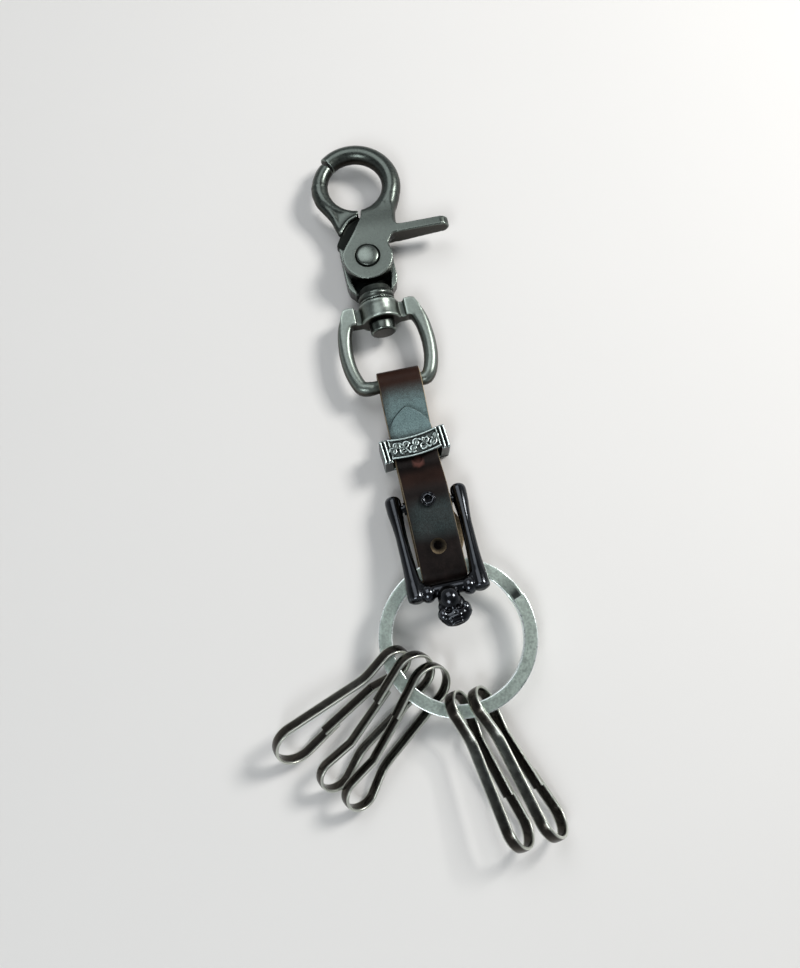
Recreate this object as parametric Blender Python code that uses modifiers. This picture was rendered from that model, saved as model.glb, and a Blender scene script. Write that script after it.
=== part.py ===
"""Key ring: snap hook, swivel bail, leather strap with keeper, bow shackle, split ring and five clips.

The chain lies flat along Y, with the snap hook at +Y, and rests on the plane Z = 0.
Lengths are in metres. Until the last step Y = 0 is the stud screw of the strap.
"""

import math

import bmesh
import bpy
from mathutils import Matrix, Vector

MM = 0.001
FULL_TURN = 2 * math.pi
TURN_DEGREES = 360

# Gaps
running_gap = 0.3 * MM
layer_gap = 0.12 * MM
cut_overrun = 1.0 * MM
weld_distance = 0.001 * MM
turned_weld_distance = 0.01 * MM
fuse_overlap = 0.25 * MM

# Leather strap
strap_width = 9.8 * MM
leather = 1.5 * MM
hole_pitch = 10.4 * MM
hole_radius = 1.8 * MM
tip_y = 22.8 * MM
tip_length = 6.6 * MM
tip_start = 0.25 * MM
front_layer_end_y = -3.5 * MM
back_layer_low_z = 1.5 * MM
upper_fold_y = 29.2 * MM
upper_fold_z = 4.9 * MM
lower_fold_y = -15.2 * MM
lower_fold_room = 2.15 * MM
ring_seat = 0.8 * MM
ease_above_keeper = 1.8 * MM
ease_below_keeper = 0.3 * MM

# Keeper
keeper_y = 12.9 * MM
keeper_breadth = 5.4 * MM
keeper_width = 15.2 * MM
keeper_wall = 1.2 * MM
keeper_side_wall = 1.9 * MM
keeper_edge = 0.45 * MM
keeper_skew_degrees = 4.0
banner_width = 9.4 * MM
banner_breadth = 3.7 * MM
banner_depth = 0.4 * MM
rib_groove_width = 0.4 * MM
rib_groove_pitch = 1.0 * MM
rib_groove_depth = 0.35 * MM

# Stud and shackle pin
stud_head_radius = 1.65 * MM
stud_head_height = 0.7 * MM
stud_post_radius = 0.6 * MM
pin_radius = 1.45 * MM
pin_journal_radius = 0.85 * MM
pin_journal_depth = 0.7 * MM

# Shackle bow
bow_half_width = 7.45 * MM
bow_fold_clearance = 0.95 * MM
bow_end_radius = 1.75 * MM
bow_middle_radius = 1.25 * MM
bow_bar_radius = 1.35 * MM
bow_end_reach = 3.3 * MM
bow_ring_clearance = 0.6 * MM
skull_radius = 3.1 * MM
skull_offset_x = -0.3 * MM
skull_drop = 2.4 * MM
skull_lean_degrees = 18.0

# Split ring
ring_radius = 15.5 * MM
ring_wire_width = 3.0 * MM
ring_wire_height = 1.05 * MM
ring_coil_gap = 0.1 * MM
ring_z = 5.5 * MM
ring_cut_degrees = 18.0
ring_dive_degrees = 24.0
ring_end_gap_degrees = 5.0
ring_steps_per_turn = 60

# Key clips
clip_length = 34.5 * MM
clip_strip = 0.55 * MM
clip_breadth = 2.6 * MM
clip_small_radius = 3.5 * MM
clip_big_radius = 4.6 * MM
clip_waist_at = 10.6 * MM
clip_waist_half = 1.75 * MM
clip_lip_from_end = 14.0 * MM
clip_gate_from_end = 10.6 * MM
clip_small_seat = 4.4 * MM
clip_big_seat = 8.0 * MM
clip_deep_seat = 8.4 * MM

# Trigger hook
rivet_rise = 8.0 * MM
eye_rise = 19.6 * MM
eye_offset_x = 0.9 * MM
eye_hole_radius = 6.55 * MM
lever_arc_radius = 2.35 * MM
lever_arc_tip_radius = 2.2 * MM
fixed_arc_radius = 2.05 * MM
fixed_arc_tip_radius = 1.8 * MM
eye_z = 4.9 * MM
eye_joint_degrees = 131.0
eye_joint_gap_degrees = 2.0
eye_fixed_end_degrees = 238.0
eye_web_end_degrees = 256.0
eye_lever_start_degrees = -62.0
eye_lever_web_end_degrees = -94.0
boss_web_degrees = (158.0, 134.0)
lever_boss_degrees = (160.0, 380.0)
body_crown_degrees = (0.0, 180.0)
boss_radius = 5.9 * MM
body_radius = 6.5 * MM
body_low_z = 0.9 * MM
body_floor = 1.5 * MM
body_top_z = 5.0 * MM
lever_top_z = 8.2 * MM
pocket_radius = 4.7 * MM
lever_tab_length = 13.4 * MM
lever_tab_thickness = 2.1 * MM
lever_tab_depth = 5.0 * MM
lever_tab_tip_depth = 3.6 * MM
lever_tab_edge = 0.4 * MM
lever_tab_rise = 5.7 * MM
lever_tab_x = 7.4 * MM
lever_tab_slope_degrees = -1.0
lever_tab_end_degrees = (-90.0, 90.0)
UPRIGHT_DEGREES = 90.0
rivet_radius = 1.5 * MM
rivet_head_radius = 2.75 * MM
rivet_head_height = 0.9 * MM
countersink_radius = 3.3 * MM
countersink_depth = 0.3 * MM
spring_wire_radius = 0.25 * MM
spring_coil_radius = 2.5 * MM
spring_pitch = 0.95 * MM
spring_turns = 1.5
neck_length = 3.2 * MM
neck_radius = 4.5 * MM
neck_groove_radius = 3.9 * MM
neck_groove_width = 0.6 * MM

# Swivel bail and its pin
barrel_radius = 4.8 * MM
barrel_rise = 15.4 * MM
barrel_length = 4.5 * MM
swivel_z = 4.9 * MM
swivel_pin_radius = 2.0 * MM
swivel_head_radius = 3.1 * MM
swivel_head_length = 2.4 * MM
bail_seat_x = -0.9 * MM
bail_half_width = 11.2 * MM
bail_arm_width = 3.4 * MM
bail_thickness = 3.8 * MM
bail_bar_radius = 1.5 * MM
bail_edge = 0.45 * MM

# How each clip hangs, in degrees: place round the ring, heading, roll and pitch; and its hung end
clip_hanging_degrees = (
    ("clip_1", 190.0, 206.5, 51.0, 0.0, "small"),
    ("clip_2", 209.0, 219.0, 44.0, 3.0, "big"),
    ("clip_3", 225.5, 224.0, 44.0, 3.0, "deep"),
    ("clip_4", 259.3, 283.3, 60.0, 0.0, "small"),
    ("clip_5", 278.0, 288.0, 60.0, 0.0, "small"),
)

# Heights and places that follow from the sizes above
half_leather = leather / 2
keeper_low_z = back_layer_low_z - running_gap - keeper_wall
front_layer_keeper_z = back_layer_low_z + leather + layer_gap + half_leather
keeper_top_z = front_layer_keeper_z + half_leather + layer_gap + leather + running_gap + keeper_wall
upper_fold_room = bail_bar_radius + layer_gap
upper_fold_bend = upper_fold_room + half_leather
lower_fold_bend = lower_fold_room + half_leather
back_layer_stud_z = back_layer_low_z + layer_gap + half_leather
pin_z = back_layer_stud_z + half_leather + layer_gap + pin_radius
front_layer_stud_z = pin_z + pin_radius + layer_gap + half_leather
top_layer_stud_z = front_layer_stud_z + layer_gap + leather
stud_top_z = top_layer_stud_z + half_leather + running_gap
ring_height = 2 * ring_wire_height + ring_coil_gap
ring_centre_y = lower_fold_y + ring_seat - ring_radius
bow_over_ring_z = ring_z + ring_height / 2 + bow_ring_clearance + bow_middle_radius
barrel_low_y = upper_fold_y + barrel_rise
neck_low_y = barrel_low_y + barrel_length + running_gap
neck_top_y = neck_low_y + neck_length
rivet_y = neck_top_y + rivet_rise
eye_y = rivet_y + eye_rise
lever_tab_y = rivet_y + lever_tab_rise
swivel_pin_end_y = neck_top_y - body_floor / 2
bow_crossing_y = ring_centre_y + math.sqrt(ring_radius**2 - bow_half_width**2)
bow_tilt = math.atan2(bow_over_ring_z - pin_z, -bow_crossing_y)
bow_bar_from_fold = lower_fold_room + leather + bow_fold_clearance + bow_bar_radius
fold_from_pin = math.hypot(lower_fold_y, ring_z - pin_z)
fold_along_bow = (ring_z - pin_z) * math.sin(bow_tilt) - lower_fold_y * math.cos(bow_tilt)
bow_length = fold_along_bow + math.sqrt(fold_along_bow**2 - fold_from_pin**2 + bow_bar_from_fold**2)


def new_collection(name):
    """A collection of that name in the scene."""
    collection = bpy.data.collections.new(name)
    bpy.context.scene.collection.children.link(collection)
    return collection


def material(name, colour, roughness, metallic):
    """A Principled material."""
    made = bpy.data.materials.new(name)
    made.use_nodes = True
    shader = made.node_tree.nodes["Principled BSDF"]
    shader.inputs["Base Color"].default_value = (*colour, 1)
    shader.inputs["Roughness"].default_value = roughness
    shader.inputs["Metallic"].default_value = metallic
    return made


def gunmetal(name):
    return material(name, (0.17, 0.18, 0.17), 0.33, 1.0)


def black_nickel(name):
    return material(name, (0.06, 0.06, 0.065), 0.12, 1.0)


def antique_silver(name):
    return material(name, (0.42, 0.43, 0.42), 0.35, 1.0)


def brushed_nickel(name):
    return material(name, (0.55, 0.58, 0.54), 0.38, 1.0)


def spring_steel(name):
    return material(name, (0.09, 0.09, 0.085), 0.3, 1.0)


def dark_leather(name):
    return material(name, (0.035, 0.018, 0.015), 0.45, 0.0)


def add_mesh(name, bm, collection):
    """An object that holds a finished bmesh."""
    mesh = bpy.data.meshes.new(name)
    bm.to_mesh(mesh)
    bm.free()
    obj = bpy.data.objects.new(name, mesh)
    collection.objects.link(obj)
    return obj


def shade(obj, sharp_degrees=35):
    obj.data.shade_smooth()
    obj.data.set_sharp_from_angle(angle=math.radians(sharp_degrees))


def block(name, low, high, collection):
    """A box between two corners."""
    bm = bmesh.new()
    bmesh.ops.create_cube(bm, size=1)
    low, high = Vector(low), Vector(high)
    bmesh.ops.scale(bm, vec=high - low, verts=bm.verts)
    bmesh.ops.translate(bm, vec=(low + high) / 2, verts=bm.verts)
    return add_mesh(name, bm, collection)


def ball(name, centre, radii, segments, collection):
    """An ellipsoid."""
    bm = bmesh.new()
    bmesh.ops.create_uvsphere(bm, u_segments=segments, v_segments=segments // 2, radius=1)
    bmesh.ops.scale(bm, vec=radii, verts=bm.verts)
    bmesh.ops.translate(bm, vec=centre, verts=bm.verts)
    return add_mesh(name, bm, collection)


AXIS_TURNS = {
    "X": (0, math.pi / 2, 0),
    "Y": (-math.pi / 2, 0, 0),
    "Z": (0, 0, 0),
}


def turned(name, profile, axis, centre, collection, bored=False, steps=32):
    """A profile of (radius, height) points, from the top down its outer side, turned about an axis."""
    bm = bmesh.new()
    points = [bm.verts.new((radius, 0, height)) for radius, height in profile]
    pairs = list(zip(points, points[1:]))
    if bored:
        pairs.append((points[-1], points[0]))
    for pair in pairs:
        bm.edges.new(pair)
    obj = add_mesh(name, bm, collection)
    screw = obj.modifiers.new("turn", "SCREW")
    screw.steps = steps
    screw.render_steps = steps
    screw.use_merge_vertices = True
    screw.merge_threshold = turned_weld_distance
    obj.rotation_euler = AXIS_TURNS[axis]
    obj.location = centre
    return obj


def rod(name, radius, low, high, axis, centre, collection, steps=24):
    """A plain cylinder from low to high along an axis, measured from centre."""
    profile = ((0, high), (radius, high), (radius, low), (0, low))
    return turned(name, profile, axis, centre, collection, steps=steps)


def to_mesh(obj, collection):
    """The same object as a mesh with its loose caps welded."""
    bpy.context.view_layer.update()
    graph = bpy.context.evaluated_depsgraph_get()
    mesh = bpy.data.meshes.new_from_object(obj.evaluated_get(graph))
    bm = bmesh.new()
    bm.from_mesh(mesh)
    bmesh.ops.remove_doubles(bm, verts=bm.verts, dist=weld_distance)
    bm.to_mesh(mesh)
    bm.free()
    made = bpy.data.objects.new(obj.name + "_mesh", mesh)
    made.matrix_world = obj.matrix_world
    collection.objects.link(made)
    name = obj.name
    bpy.data.objects.remove(obj)
    made.name = name
    return made


def tube(name, points, radii, collection, resolution=3):
    """A round bar through points, with a radius for each."""
    curve = bpy.data.curves.new(name, "CURVE")
    curve.dimensions = "3D"
    curve.bevel_depth = 1.0
    curve.bevel_resolution = resolution
    curve.use_fill_caps = True
    spline = curve.splines.new("POLY")
    spline.points.add(len(points) - 1)
    for place, point, radius in zip(spline.points, points, radii):
        place.co = (*point, 1)
        place.radius = radius
    obj = bpy.data.objects.new(name, curve)
    collection.objects.link(obj)
    return to_mesh(obj, collection)


def slab(name, outlines, low_z, high_z, collection, edge=0, smooth=False):
    """Flat outlines filled and given a thickness, with an optional bevelled edge."""
    curve = bpy.data.curves.new(name, "CURVE")
    curve.dimensions = "2D"
    curve.fill_mode = "BOTH"
    curve.extrude = (high_z - low_z) / 2 - edge
    curve.bevel_depth = edge
    curve.bevel_resolution = 0
    curve.offset = -edge
    curve.resolution_u = 4
    for outline in outlines:
        if smooth:
            spline = curve.splines.new("BEZIER")
            spline.bezier_points.add(len(outline) - 1)
            for place, point in zip(spline.bezier_points, outline):
                place.co = (*point, 0)
                place.handle_left_type = "AUTO"
                place.handle_right_type = "AUTO"
        else:
            spline = curve.splines.new("POLY")
            spline.points.add(len(outline) - 1)
            for place, point in zip(spline.points, outline):
                place.co = (*point, 0, 1)
        spline.use_cyclic_u = True
    obj = bpy.data.objects.new(name, curve)
    obj.location = (0, 0, (low_z + high_z) / 2)
    collection.objects.link(obj)
    return to_mesh(obj, collection)


def ribbon(name, rails, thickness, collection):
    """A strip with thickness, between two rails of points that run side by side."""
    left, right = rails
    bm = bmesh.new()
    line = [bm.verts.new(point) for point in left]
    for pair in zip(line, line[1:]):
        bm.edges.new(pair)
    made = bmesh.ops.extrude_edge_only(bm, edges=bm.edges[:])
    across = [item for item in made["geom"] if isinstance(item, bmesh.types.BMVert)]
    bm.verts.ensure_lookup_table()
    partner = {}
    for edge in bm.edges:
        ends = set(edge.verts)
        start = ends & set(line)
        end = ends & set(across)
        if start and end:
            partner[start.pop()] = end.pop()
    for vert, point in zip(line, right):
        partner[vert].co = point
    bmesh.ops.recalc_face_normals(bm, faces=bm.faces)
    obj = add_mesh(name, bm, collection)
    solid = obj.modifiers.new("thickness", "SOLIDIFY")
    solid.thickness = thickness
    solid.offset = 0
    solid.use_even_offset = True
    return obj


def combine(obj, other, operation):
    """Joins or cuts with another object, which becomes a helper."""
    other.hide_render = True
    other.display_type = "WIRE"
    boolean = obj.modifiers.new(other.name, "BOOLEAN")
    boolean.operation = operation
    boolean.object = other
    return obj


def fuse(obj, *others):
    for other in others:
        combine(obj, other, "UNION")
    return obj


def cut(obj, *others):
    for other in others:
        combine(obj, other, "DIFFERENCE")
    return obj


def round_edges(obj, width, segments=2, degrees=40):
    bevel = obj.modifiers.new("edges", "BEVEL")
    bevel.width = width
    bevel.segments = segments
    bevel.limit_method = "ANGLE"
    bevel.angle_limit = math.radians(degrees)
    return obj


def give(obj, finish):
    """Gives the object its material."""
    obj.data.materials.clear()
    obj.data.materials.append(finish)
    return obj


def eased(stations, y):
    """The height at y on a line that eases from station to station, each a (y, z) with y falling."""
    if y >= stations[0][0]:
        return stations[0][1]
    for (y_from, z_from), (y_to, z_to) in zip(stations, stations[1:]):
        if y >= y_to:
            share = (y_from - y) / (y_from - y_to)
            return z_from + (z_to - z_from) * (1 - math.cos(math.pi * share)) / 2
    return stations[-1][1]


def front_layer_z(y):
    """Middle height of the strap's front layer."""
    return eased(
        (
            (upper_fold_y, upper_fold_z + upper_fold_bend),
            (keeper_y + keeper_breadth / 2 + ease_above_keeper, front_layer_keeper_z),
            (keeper_y - keeper_breadth / 2 - ease_below_keeper, front_layer_keeper_z),
            (pin_radius, front_layer_stud_z),
        ),
        y,
    )


def back_layer_z(y):
    """Middle height of the strap's back layer."""
    return eased(
        (
            (upper_fold_y, upper_fold_z - upper_fold_bend),
            (keeper_y + keeper_breadth / 2 + ease_above_keeper, back_layer_low_z + half_leather),
            (keeper_y - keeper_breadth / 2, back_layer_low_z + half_leather),
            (pin_radius, back_layer_stud_z),
            (lower_fold_y, ring_z - lower_fold_bend),
        ),
        y,
    )


def top_layer_point(y):
    """The top layer lies on the front layer, one thickness and a gap square off it."""
    step = layer_gap
    slope = math.atan2(front_layer_z(y + step) - front_layer_z(y - step), 2 * step)
    lift = leather + layer_gap
    return y - lift * math.sin(slope), front_layer_z(y) + lift * math.cos(slope)


def spaced(start, end, count):
    return [start + (end - start) * i / (count - 1) for i in range(count)]


def bend(y, z, radius, start_degrees, end_degrees, count):
    """Points on a bend in the Y, Z plane, its ends left out."""
    angles = spaced(math.radians(start_degrees), math.radians(end_degrees), count + 2)[1:-1]
    return [(y + radius * math.cos(a), z + radius * math.sin(a)) for a in angles]


def strap_line():
    """The middle line of the strap as (y, z) points, from its pointed tip to the end below the stud."""
    top_stations = (
        (front_layer_end_y, top_layer_stud_z),
        (lower_fold_y, ring_z + lower_fold_bend),
    )
    line = [top_layer_point(y) for y in spaced(tip_y, 0, 30)]
    line += [(y, eased(top_stations, y)) for y in spaced(front_layer_end_y / 2, lower_fold_y, 12)]
    line += bend(lower_fold_y, ring_z, lower_fold_bend, 90, 270, 11)
    line += [(y, back_layer_z(y)) for y in spaced(lower_fold_y, upper_fold_y, 28)]
    line += bend(upper_fold_y, upper_fold_z, upper_fold_bend, -90, 90, 9)
    line += [(y, front_layer_z(y)) for y in spaced(upper_fold_y, front_layer_end_y, 28)]
    return line


def pointed_half_width(from_tip):
    """Half width of the pointed tip, two arcs that meet at a point."""
    half = strap_width / 2
    if from_tip >= tip_length:
        return half
    arc = (tip_length**2 + half**2) / (2 * half)
    return math.sqrt(arc**2 - (tip_length - from_tip) ** 2) - (arc - half)


def make_strap(parts, cutters):
    line = strap_line()
    halves = []
    along = tip_start
    for i, point in enumerate(line):
        if i:
            along += math.dist(point, line[i - 1])
        halves.append(pointed_half_width(along))
    left = [(-half, y, z) for half, (y, z) in zip(halves, line)]
    right = [(half, y, z) for half, (y, z) in zip(halves, line)]
    strap = ribbon("leather_strap", (left, right), leather, parts)
    reach = stud_top_z + cut_overrun
    post_bore = stud_post_radius + running_gap
    stud_bore = rod("strap_stud_bore", post_bore, -cut_overrun, reach, "Z", (0, 0, 0), cutters)
    open_low = ring_z
    open_hole = rod("strap_open_hole", hole_radius, open_low, reach, "Z", (0, -hole_pitch, 0), cutters)
    upper_y, upper_z = top_layer_point(hole_pitch)
    upper_hole = rod(
        "strap_upper_hole", hole_radius, -half_leather, reach, "Z", (0, upper_y, upper_z), cutters
    )
    cut(strap, stud_bore, open_hole, upper_hole)
    return give(strap, dark_leather("strap_leather"))


def make_keeper(parts, cutters):
    half = keeper_width / 2
    low_y, high_y = keeper_y - keeper_breadth / 2, keeper_y + keeper_breadth / 2
    keeper = block("keeper_loop", (-half, low_y, keeper_low_z), (half, high_y, keeper_top_z), parts)
    round_edges(keeper, keeper_edge)
    room_half = half - keeper_side_wall
    room = block(
        "keeper_room",
        (-room_half, low_y - cut_overrun, keeper_low_z + keeper_wall),
        (room_half, high_y + cut_overrun, keeper_top_z - keeper_wall),
        cutters,
    )
    banner = block(
        "keeper_banner",
        (-banner_width / 2, keeper_y - banner_breadth / 2, keeper_top_z - banner_depth),
        (banner_width / 2, keeper_y + banner_breadth / 2, keeper_top_z + cut_overrun),
        cutters,
    )
    cut(keeper, room, banner)
    groove_middle = (half + banner_width / 2) / 2
    for side in (-1, 1):
        for number in (-1, 1):
            x = side * groove_middle + number * rib_groove_pitch / 2
            groove = block(
                f"keeper_groove_{side}_{number}",
                (x - rib_groove_width / 2, low_y - cut_overrun, keeper_top_z - rib_groove_depth),
                (x + rib_groove_width / 2, high_y + cut_overrun, keeper_top_z + cut_overrun),
                cutters,
            )
            cut(keeper, groove)
    skew = Matrix.Rotation(math.radians(keeper_skew_degrees), 4, "Z")
    about = Matrix.Translation((0, keeper_y, 0))
    for obj in (keeper, *[modifier.object for modifier in keeper.modifiers if modifier.type == "BOOLEAN"]):
        obj.matrix_world = about @ skew @ about.inverted() @ obj.matrix_basis
    return give(keeper, antique_silver("keeper_silver"))


def make_stud(parts, cutters):
    """The screw that shows on the front and the one behind, both in the pin's cross bore."""
    crown = stud_head_height / 3
    front = turned(
        "stud_screw",
        (
            (0, stud_head_height),
            (stud_head_radius - crown, stud_head_height),
            (stud_head_radius, stud_head_height - crown),
            (stud_head_radius, 0),
            (stud_post_radius, 0),
            (stud_post_radius, pin_z + running_gap / 2 - stud_top_z),
            (0, pin_z + running_gap / 2 - stud_top_z),
        ),
        "Z",
        (0, 0, stud_top_z),
        parts,
        steps=24,
    )
    back_low_z = back_layer_stud_z - half_leather - running_gap - stud_head_height
    back = turned(
        "back_screw",
        (
            (0, pin_z - running_gap / 2 - back_low_z),
            (stud_post_radius, pin_z - running_gap / 2 - back_low_z),
            (stud_post_radius, stud_head_height),
            (stud_head_radius, stud_head_height),
            (stud_head_radius, crown),
            (stud_head_radius - crown, 0),
            (0, 0),
        ),
        "Z",
        (0, 0, back_low_z),
        parts,
        steps=24,
    )
    for screw in (front, back):
        give(screw, gunmetal(screw.name + "_metal"))
    return front, back


def make_shackle_pin(parts, cutters):
    """Cross pin: a thick middle with a cross bore, and a journal at each end, blind in the bow's arm."""
    journal_start = bow_half_width - bow_end_radius - running_gap
    journal_end = bow_half_width + pin_journal_depth
    profile = (
        (0, journal_end),
        (pin_journal_radius, journal_end),
        (pin_journal_radius, journal_start),
        (pin_radius, journal_start),
        (pin_radius, -journal_start),
        (pin_journal_radius, -journal_start),
        (pin_journal_radius, -journal_end),
        (0, -journal_end),
    )
    pin = turned("shackle_pin", profile, "X", (0, 0, pin_z), parts)
    reach = pin_radius + cut_overrun
    bore_radius = stud_post_radius + running_gap
    cut(pin, rod("pin_cross_bore", bore_radius, -reach, reach, "Z", (0, 0, pin_z), cutters))
    return give(pin, black_nickel("pin_nickel"))


def bow_point(x, along, height=0):
    """A point of the bow: along runs from the pin to the crossbar on the bow's own sloping plane."""
    run, rise = math.cos(bow_tilt), math.sin(bow_tilt)
    return Vector((x, height * rise - along * run, pin_z + along * rise + height * run))


def skull_point(across_share, along_share, height_share):
    """A place on the skull, in shares of its radius from the middle of the head. It leans to one side."""
    lean = math.radians(skull_lean_degrees)
    across = (across_share * math.cos(lean) + along_share * math.sin(lean)) * skull_radius
    along = (along_share * math.cos(lean) - across_share * math.sin(lean)) * skull_radius
    return bow_point(skull_offset_x + across, bow_length + skull_drop + along, height_share * skull_radius)


def bow_arm(side, cutters):
    """One bone-like arm with flared ends."""
    stations = (
        (-bow_end_reach, bow_end_radius * 0.86),
        (-bow_end_reach * 0.8, bow_end_radius),
        (bow_end_reach * 0.7, bow_end_radius),
        (bow_end_reach * 1.5, bow_middle_radius * 1.15),
        (bow_length * 0.35, bow_middle_radius),
        (bow_length * 0.65, bow_middle_radius),
        (bow_length * 0.84, bow_middle_radius * 1.12),
        (bow_length * 0.92, bow_bar_radius * 1.18),
        (bow_length + bow_bar_radius * 0.7, bow_bar_radius * 1.18),
        (bow_length + bow_bar_radius, bow_bar_radius * 0.8),
    )
    points = [bow_point(side * bow_half_width, along) for along, _ in stations]
    return tube(f"bow_arm_{side}", points, [radius for _, radius in stations], cutters)


def make_bow(parts, cutters):
    bar_points = [bow_point(x, bow_length) for x in spaced(-bow_half_width, bow_half_width, 4)]
    bow = tube("shackle_bow", bar_points, [bow_bar_radius] * 4, parts)
    fuse(bow, bow_arm(-1, cutters), bow_arm(1, cutters))
    head_radii = (skull_radius, skull_radius * 1.05, skull_radius * 0.95)
    head = ball("skull_head", skull_point(0, 0, 0.15), head_radii, 24, cutters)
    jaw_radii = (skull_radius * 0.78, skull_radius * 0.6, skull_radius * 0.62)
    jaw = ball("skull_jaw", skull_point(0, 1.25, -0.05), jaw_radii, 16, cutters)
    cheeks = []
    for side in (-1, 1):
        cheek_centre = skull_point(side * 0.62, 0.8, 0.1)
        cheeks.append(ball(f"skull_cheek_{side}", cheek_centre, [skull_radius * 0.4] * 3, 12, cutters))
    fuse(bow, head, jaw, *cheeks)
    for side in (-1, 1):
        eye_centre = skull_point(side * 0.42, 0.45, 0.95)
        eye_socket = ball(f"skull_eye_{side}", eye_centre, [skull_radius * 0.3] * 3, 12, cutters)
        cut(bow, eye_socket)
    journal_bore = pin_journal_radius + running_gap
    reach = bow_half_width + pin_journal_depth + running_gap
    bore = rod("bow_pin_bore", journal_bore, -reach, reach, "X", (0, 0, pin_z), cutters)
    cut(bow, bore)
    return give(bow, black_nickel("bow_nickel"))


def ring_height_at(turned_degrees):
    """Height of the flat wire's middle: one coil on top, a short dive, one coil below."""
    level = (ring_wire_height + ring_coil_gap) / 2
    dive_start = TURN_DEGREES - ring_dive_degrees
    if turned_degrees <= dive_start:
        return ring_z + level
    if turned_degrees >= TURN_DEGREES:
        return ring_z - level
    share = (turned_degrees - dive_start) / ring_dive_degrees
    return ring_z + level * math.cos(math.pi * share)


def make_ring(parts, cutters):
    """Two coils of flat wire, clockwise from the cut end at the upper right."""
    whole = 2 * TURN_DEGREES - ring_dive_degrees - ring_end_gap_degrees
    steps = round(whole / TURN_DEGREES * ring_steps_per_turn)
    rails = ([], [])
    for i in range(steps + 1):
        turn = whole * i / steps
        angle = math.radians(ring_cut_degrees - turn)
        z = ring_height_at(turn)
        for rail, offset in zip(rails, (-ring_wire_width / 2, ring_wire_width / 2)):
            radius = ring_radius + offset
            rail.append((radius * math.cos(angle), ring_centre_y + radius * math.sin(angle), z))
    ring = ribbon("split_ring", rails, ring_wire_height, parts)
    return give(ring, brushed_nickel("ring_nickel"))


def clip_bends():
    """Centres and tangent angles of the clip's two round ends, in its own plane."""
    small_centre = clip_strip / 2 + clip_small_radius
    big_centre = clip_length - clip_strip / 2 - clip_big_radius
    to_small = math.hypot(clip_waist_at - small_centre, clip_waist_half)
    to_big = math.hypot(big_centre - clip_waist_at, clip_waist_half)
    small_angle = math.atan2(clip_waist_half, clip_waist_at - small_centre)
    small_angle += math.acos(clip_small_radius / to_small)
    big_angle = math.atan2(clip_waist_half, clip_waist_at - big_centre)
    big_angle -= math.acos(clip_big_radius / to_big)
    return small_centre, small_angle, big_centre, big_angle


def arc_points(centre, radius, start, end, count):
    return [(centre + radius * math.cos(a), radius * math.sin(a)) for a in spaced(start, end, count)]


def clip_frame_line():
    """From the waist at the gate, round the small loop, along the leg, round the big end to the lip."""
    small_centre, small_angle, big_centre, big_angle = clip_bends()
    line = [(clip_waist_at, -clip_waist_half)]
    line += arc_points(small_centre, clip_small_radius, FULL_TURN - small_angle, small_angle, 17)
    line += [(clip_waist_at, clip_waist_half)]
    line += arc_points(big_centre, clip_big_radius, big_angle, -big_angle, 17)
    line += [clip_gate_side_point(clip_length - clip_lip_from_end, 0)]
    return line


def clip_gate_side_point(at, inward):
    """A point on the straight line from the big bend to the waist, on the gate's side."""
    _, _, big_centre, big_angle = clip_bends()
    end_u = big_centre + clip_big_radius * math.cos(big_angle)
    end_v = -clip_big_radius * math.sin(big_angle)
    share = (at - clip_waist_at) / (end_u - clip_waist_at)
    return at, -clip_waist_half + (end_v + clip_waist_half) * share + inward


def clip_gate_line():
    """The gate: straight from the waist to its end inside the lip."""
    end = clip_gate_side_point(clip_length - clip_gate_from_end, clip_strip + running_gap)
    start = clip_gate_side_point(clip_waist_at, 0)
    share = running_gap / math.dist(start, end)
    start = (start[0] + (end[0] - start[0]) * share, start[1] + (end[1] - start[1]) * share)
    return [start, end]


def clip_matrix(place_degrees, heading_degrees, roll_degrees, pitch_degrees, hung):
    """Where a clip lies: it hangs on the ring's wire and leans on its edge."""
    place = math.radians(place_degrees)
    heading = math.radians(heading_degrees)
    roll = math.radians(roll_degrees)
    point = Vector((ring_radius * math.cos(place), ring_centre_y + ring_radius * math.sin(place), ring_z))
    outward = Vector((math.cos(heading), math.sin(heading), 0))
    leftward = Vector((outward.y, -outward.x, 0))
    upward = leftward * math.cos(roll) + Vector((0, 0, math.sin(roll)))
    normal = outward.cross(upward)
    frame = Matrix((outward, upward, normal)).transposed().to_4x4()
    drop = Matrix.Rotation(math.radians(pitch_degrees), 4, clip_swing_axis(place_degrees))
    if hung == "small":
        seat = Matrix.Translation((-clip_small_seat, 0, 0))
    else:
        depth = clip_deep_seat if hung == "deep" else clip_big_seat
        seat = Matrix.Rotation(math.pi, 4, "Z") @ Matrix.Translation((depth - clip_length, 0, 0))
    return Matrix.Translation(point) @ drop @ frame @ seat


def clip_swing_axis(place_degrees):
    """The ring's direction where the clip hangs: a turn by the right hand about it drops the far end."""
    place = math.radians(place_degrees)
    return Vector((-math.sin(place), math.cos(place), 0))


def make_clips(parts, cutters):
    made = {}
    for name, place, heading, roll, pitch, hung in clip_hanging_degrees:
        where = clip_matrix(place, heading, roll, pitch, hung)
        for piece, line in (("frame", clip_frame_line()), ("gate", clip_gate_line())):
            half = clip_breadth / 2
            rails = [[where @ Vector((u, v, w)) for u, v in line] for w in (-half, half)]
            strip = ribbon(f"{name}_{piece}", rails, clip_strip, parts)
            give(strip, spring_steel(f"{name}_{piece}_steel"))
            made[strip.name] = strip
        made[name + "_waist"] = where @ Vector((clip_waist_at, -clip_waist_half, 0))
        made[name + "_normal"] = where.to_3x3() @ Vector((0, 0, 1))
    return made


def eye_point(degrees, radius, z=eye_z):
    angle = math.radians(degrees)
    eye_x = bail_seat_x + eye_offset_x
    return (eye_x + radius * math.cos(angle), eye_y + radius * math.sin(angle), z)


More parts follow.
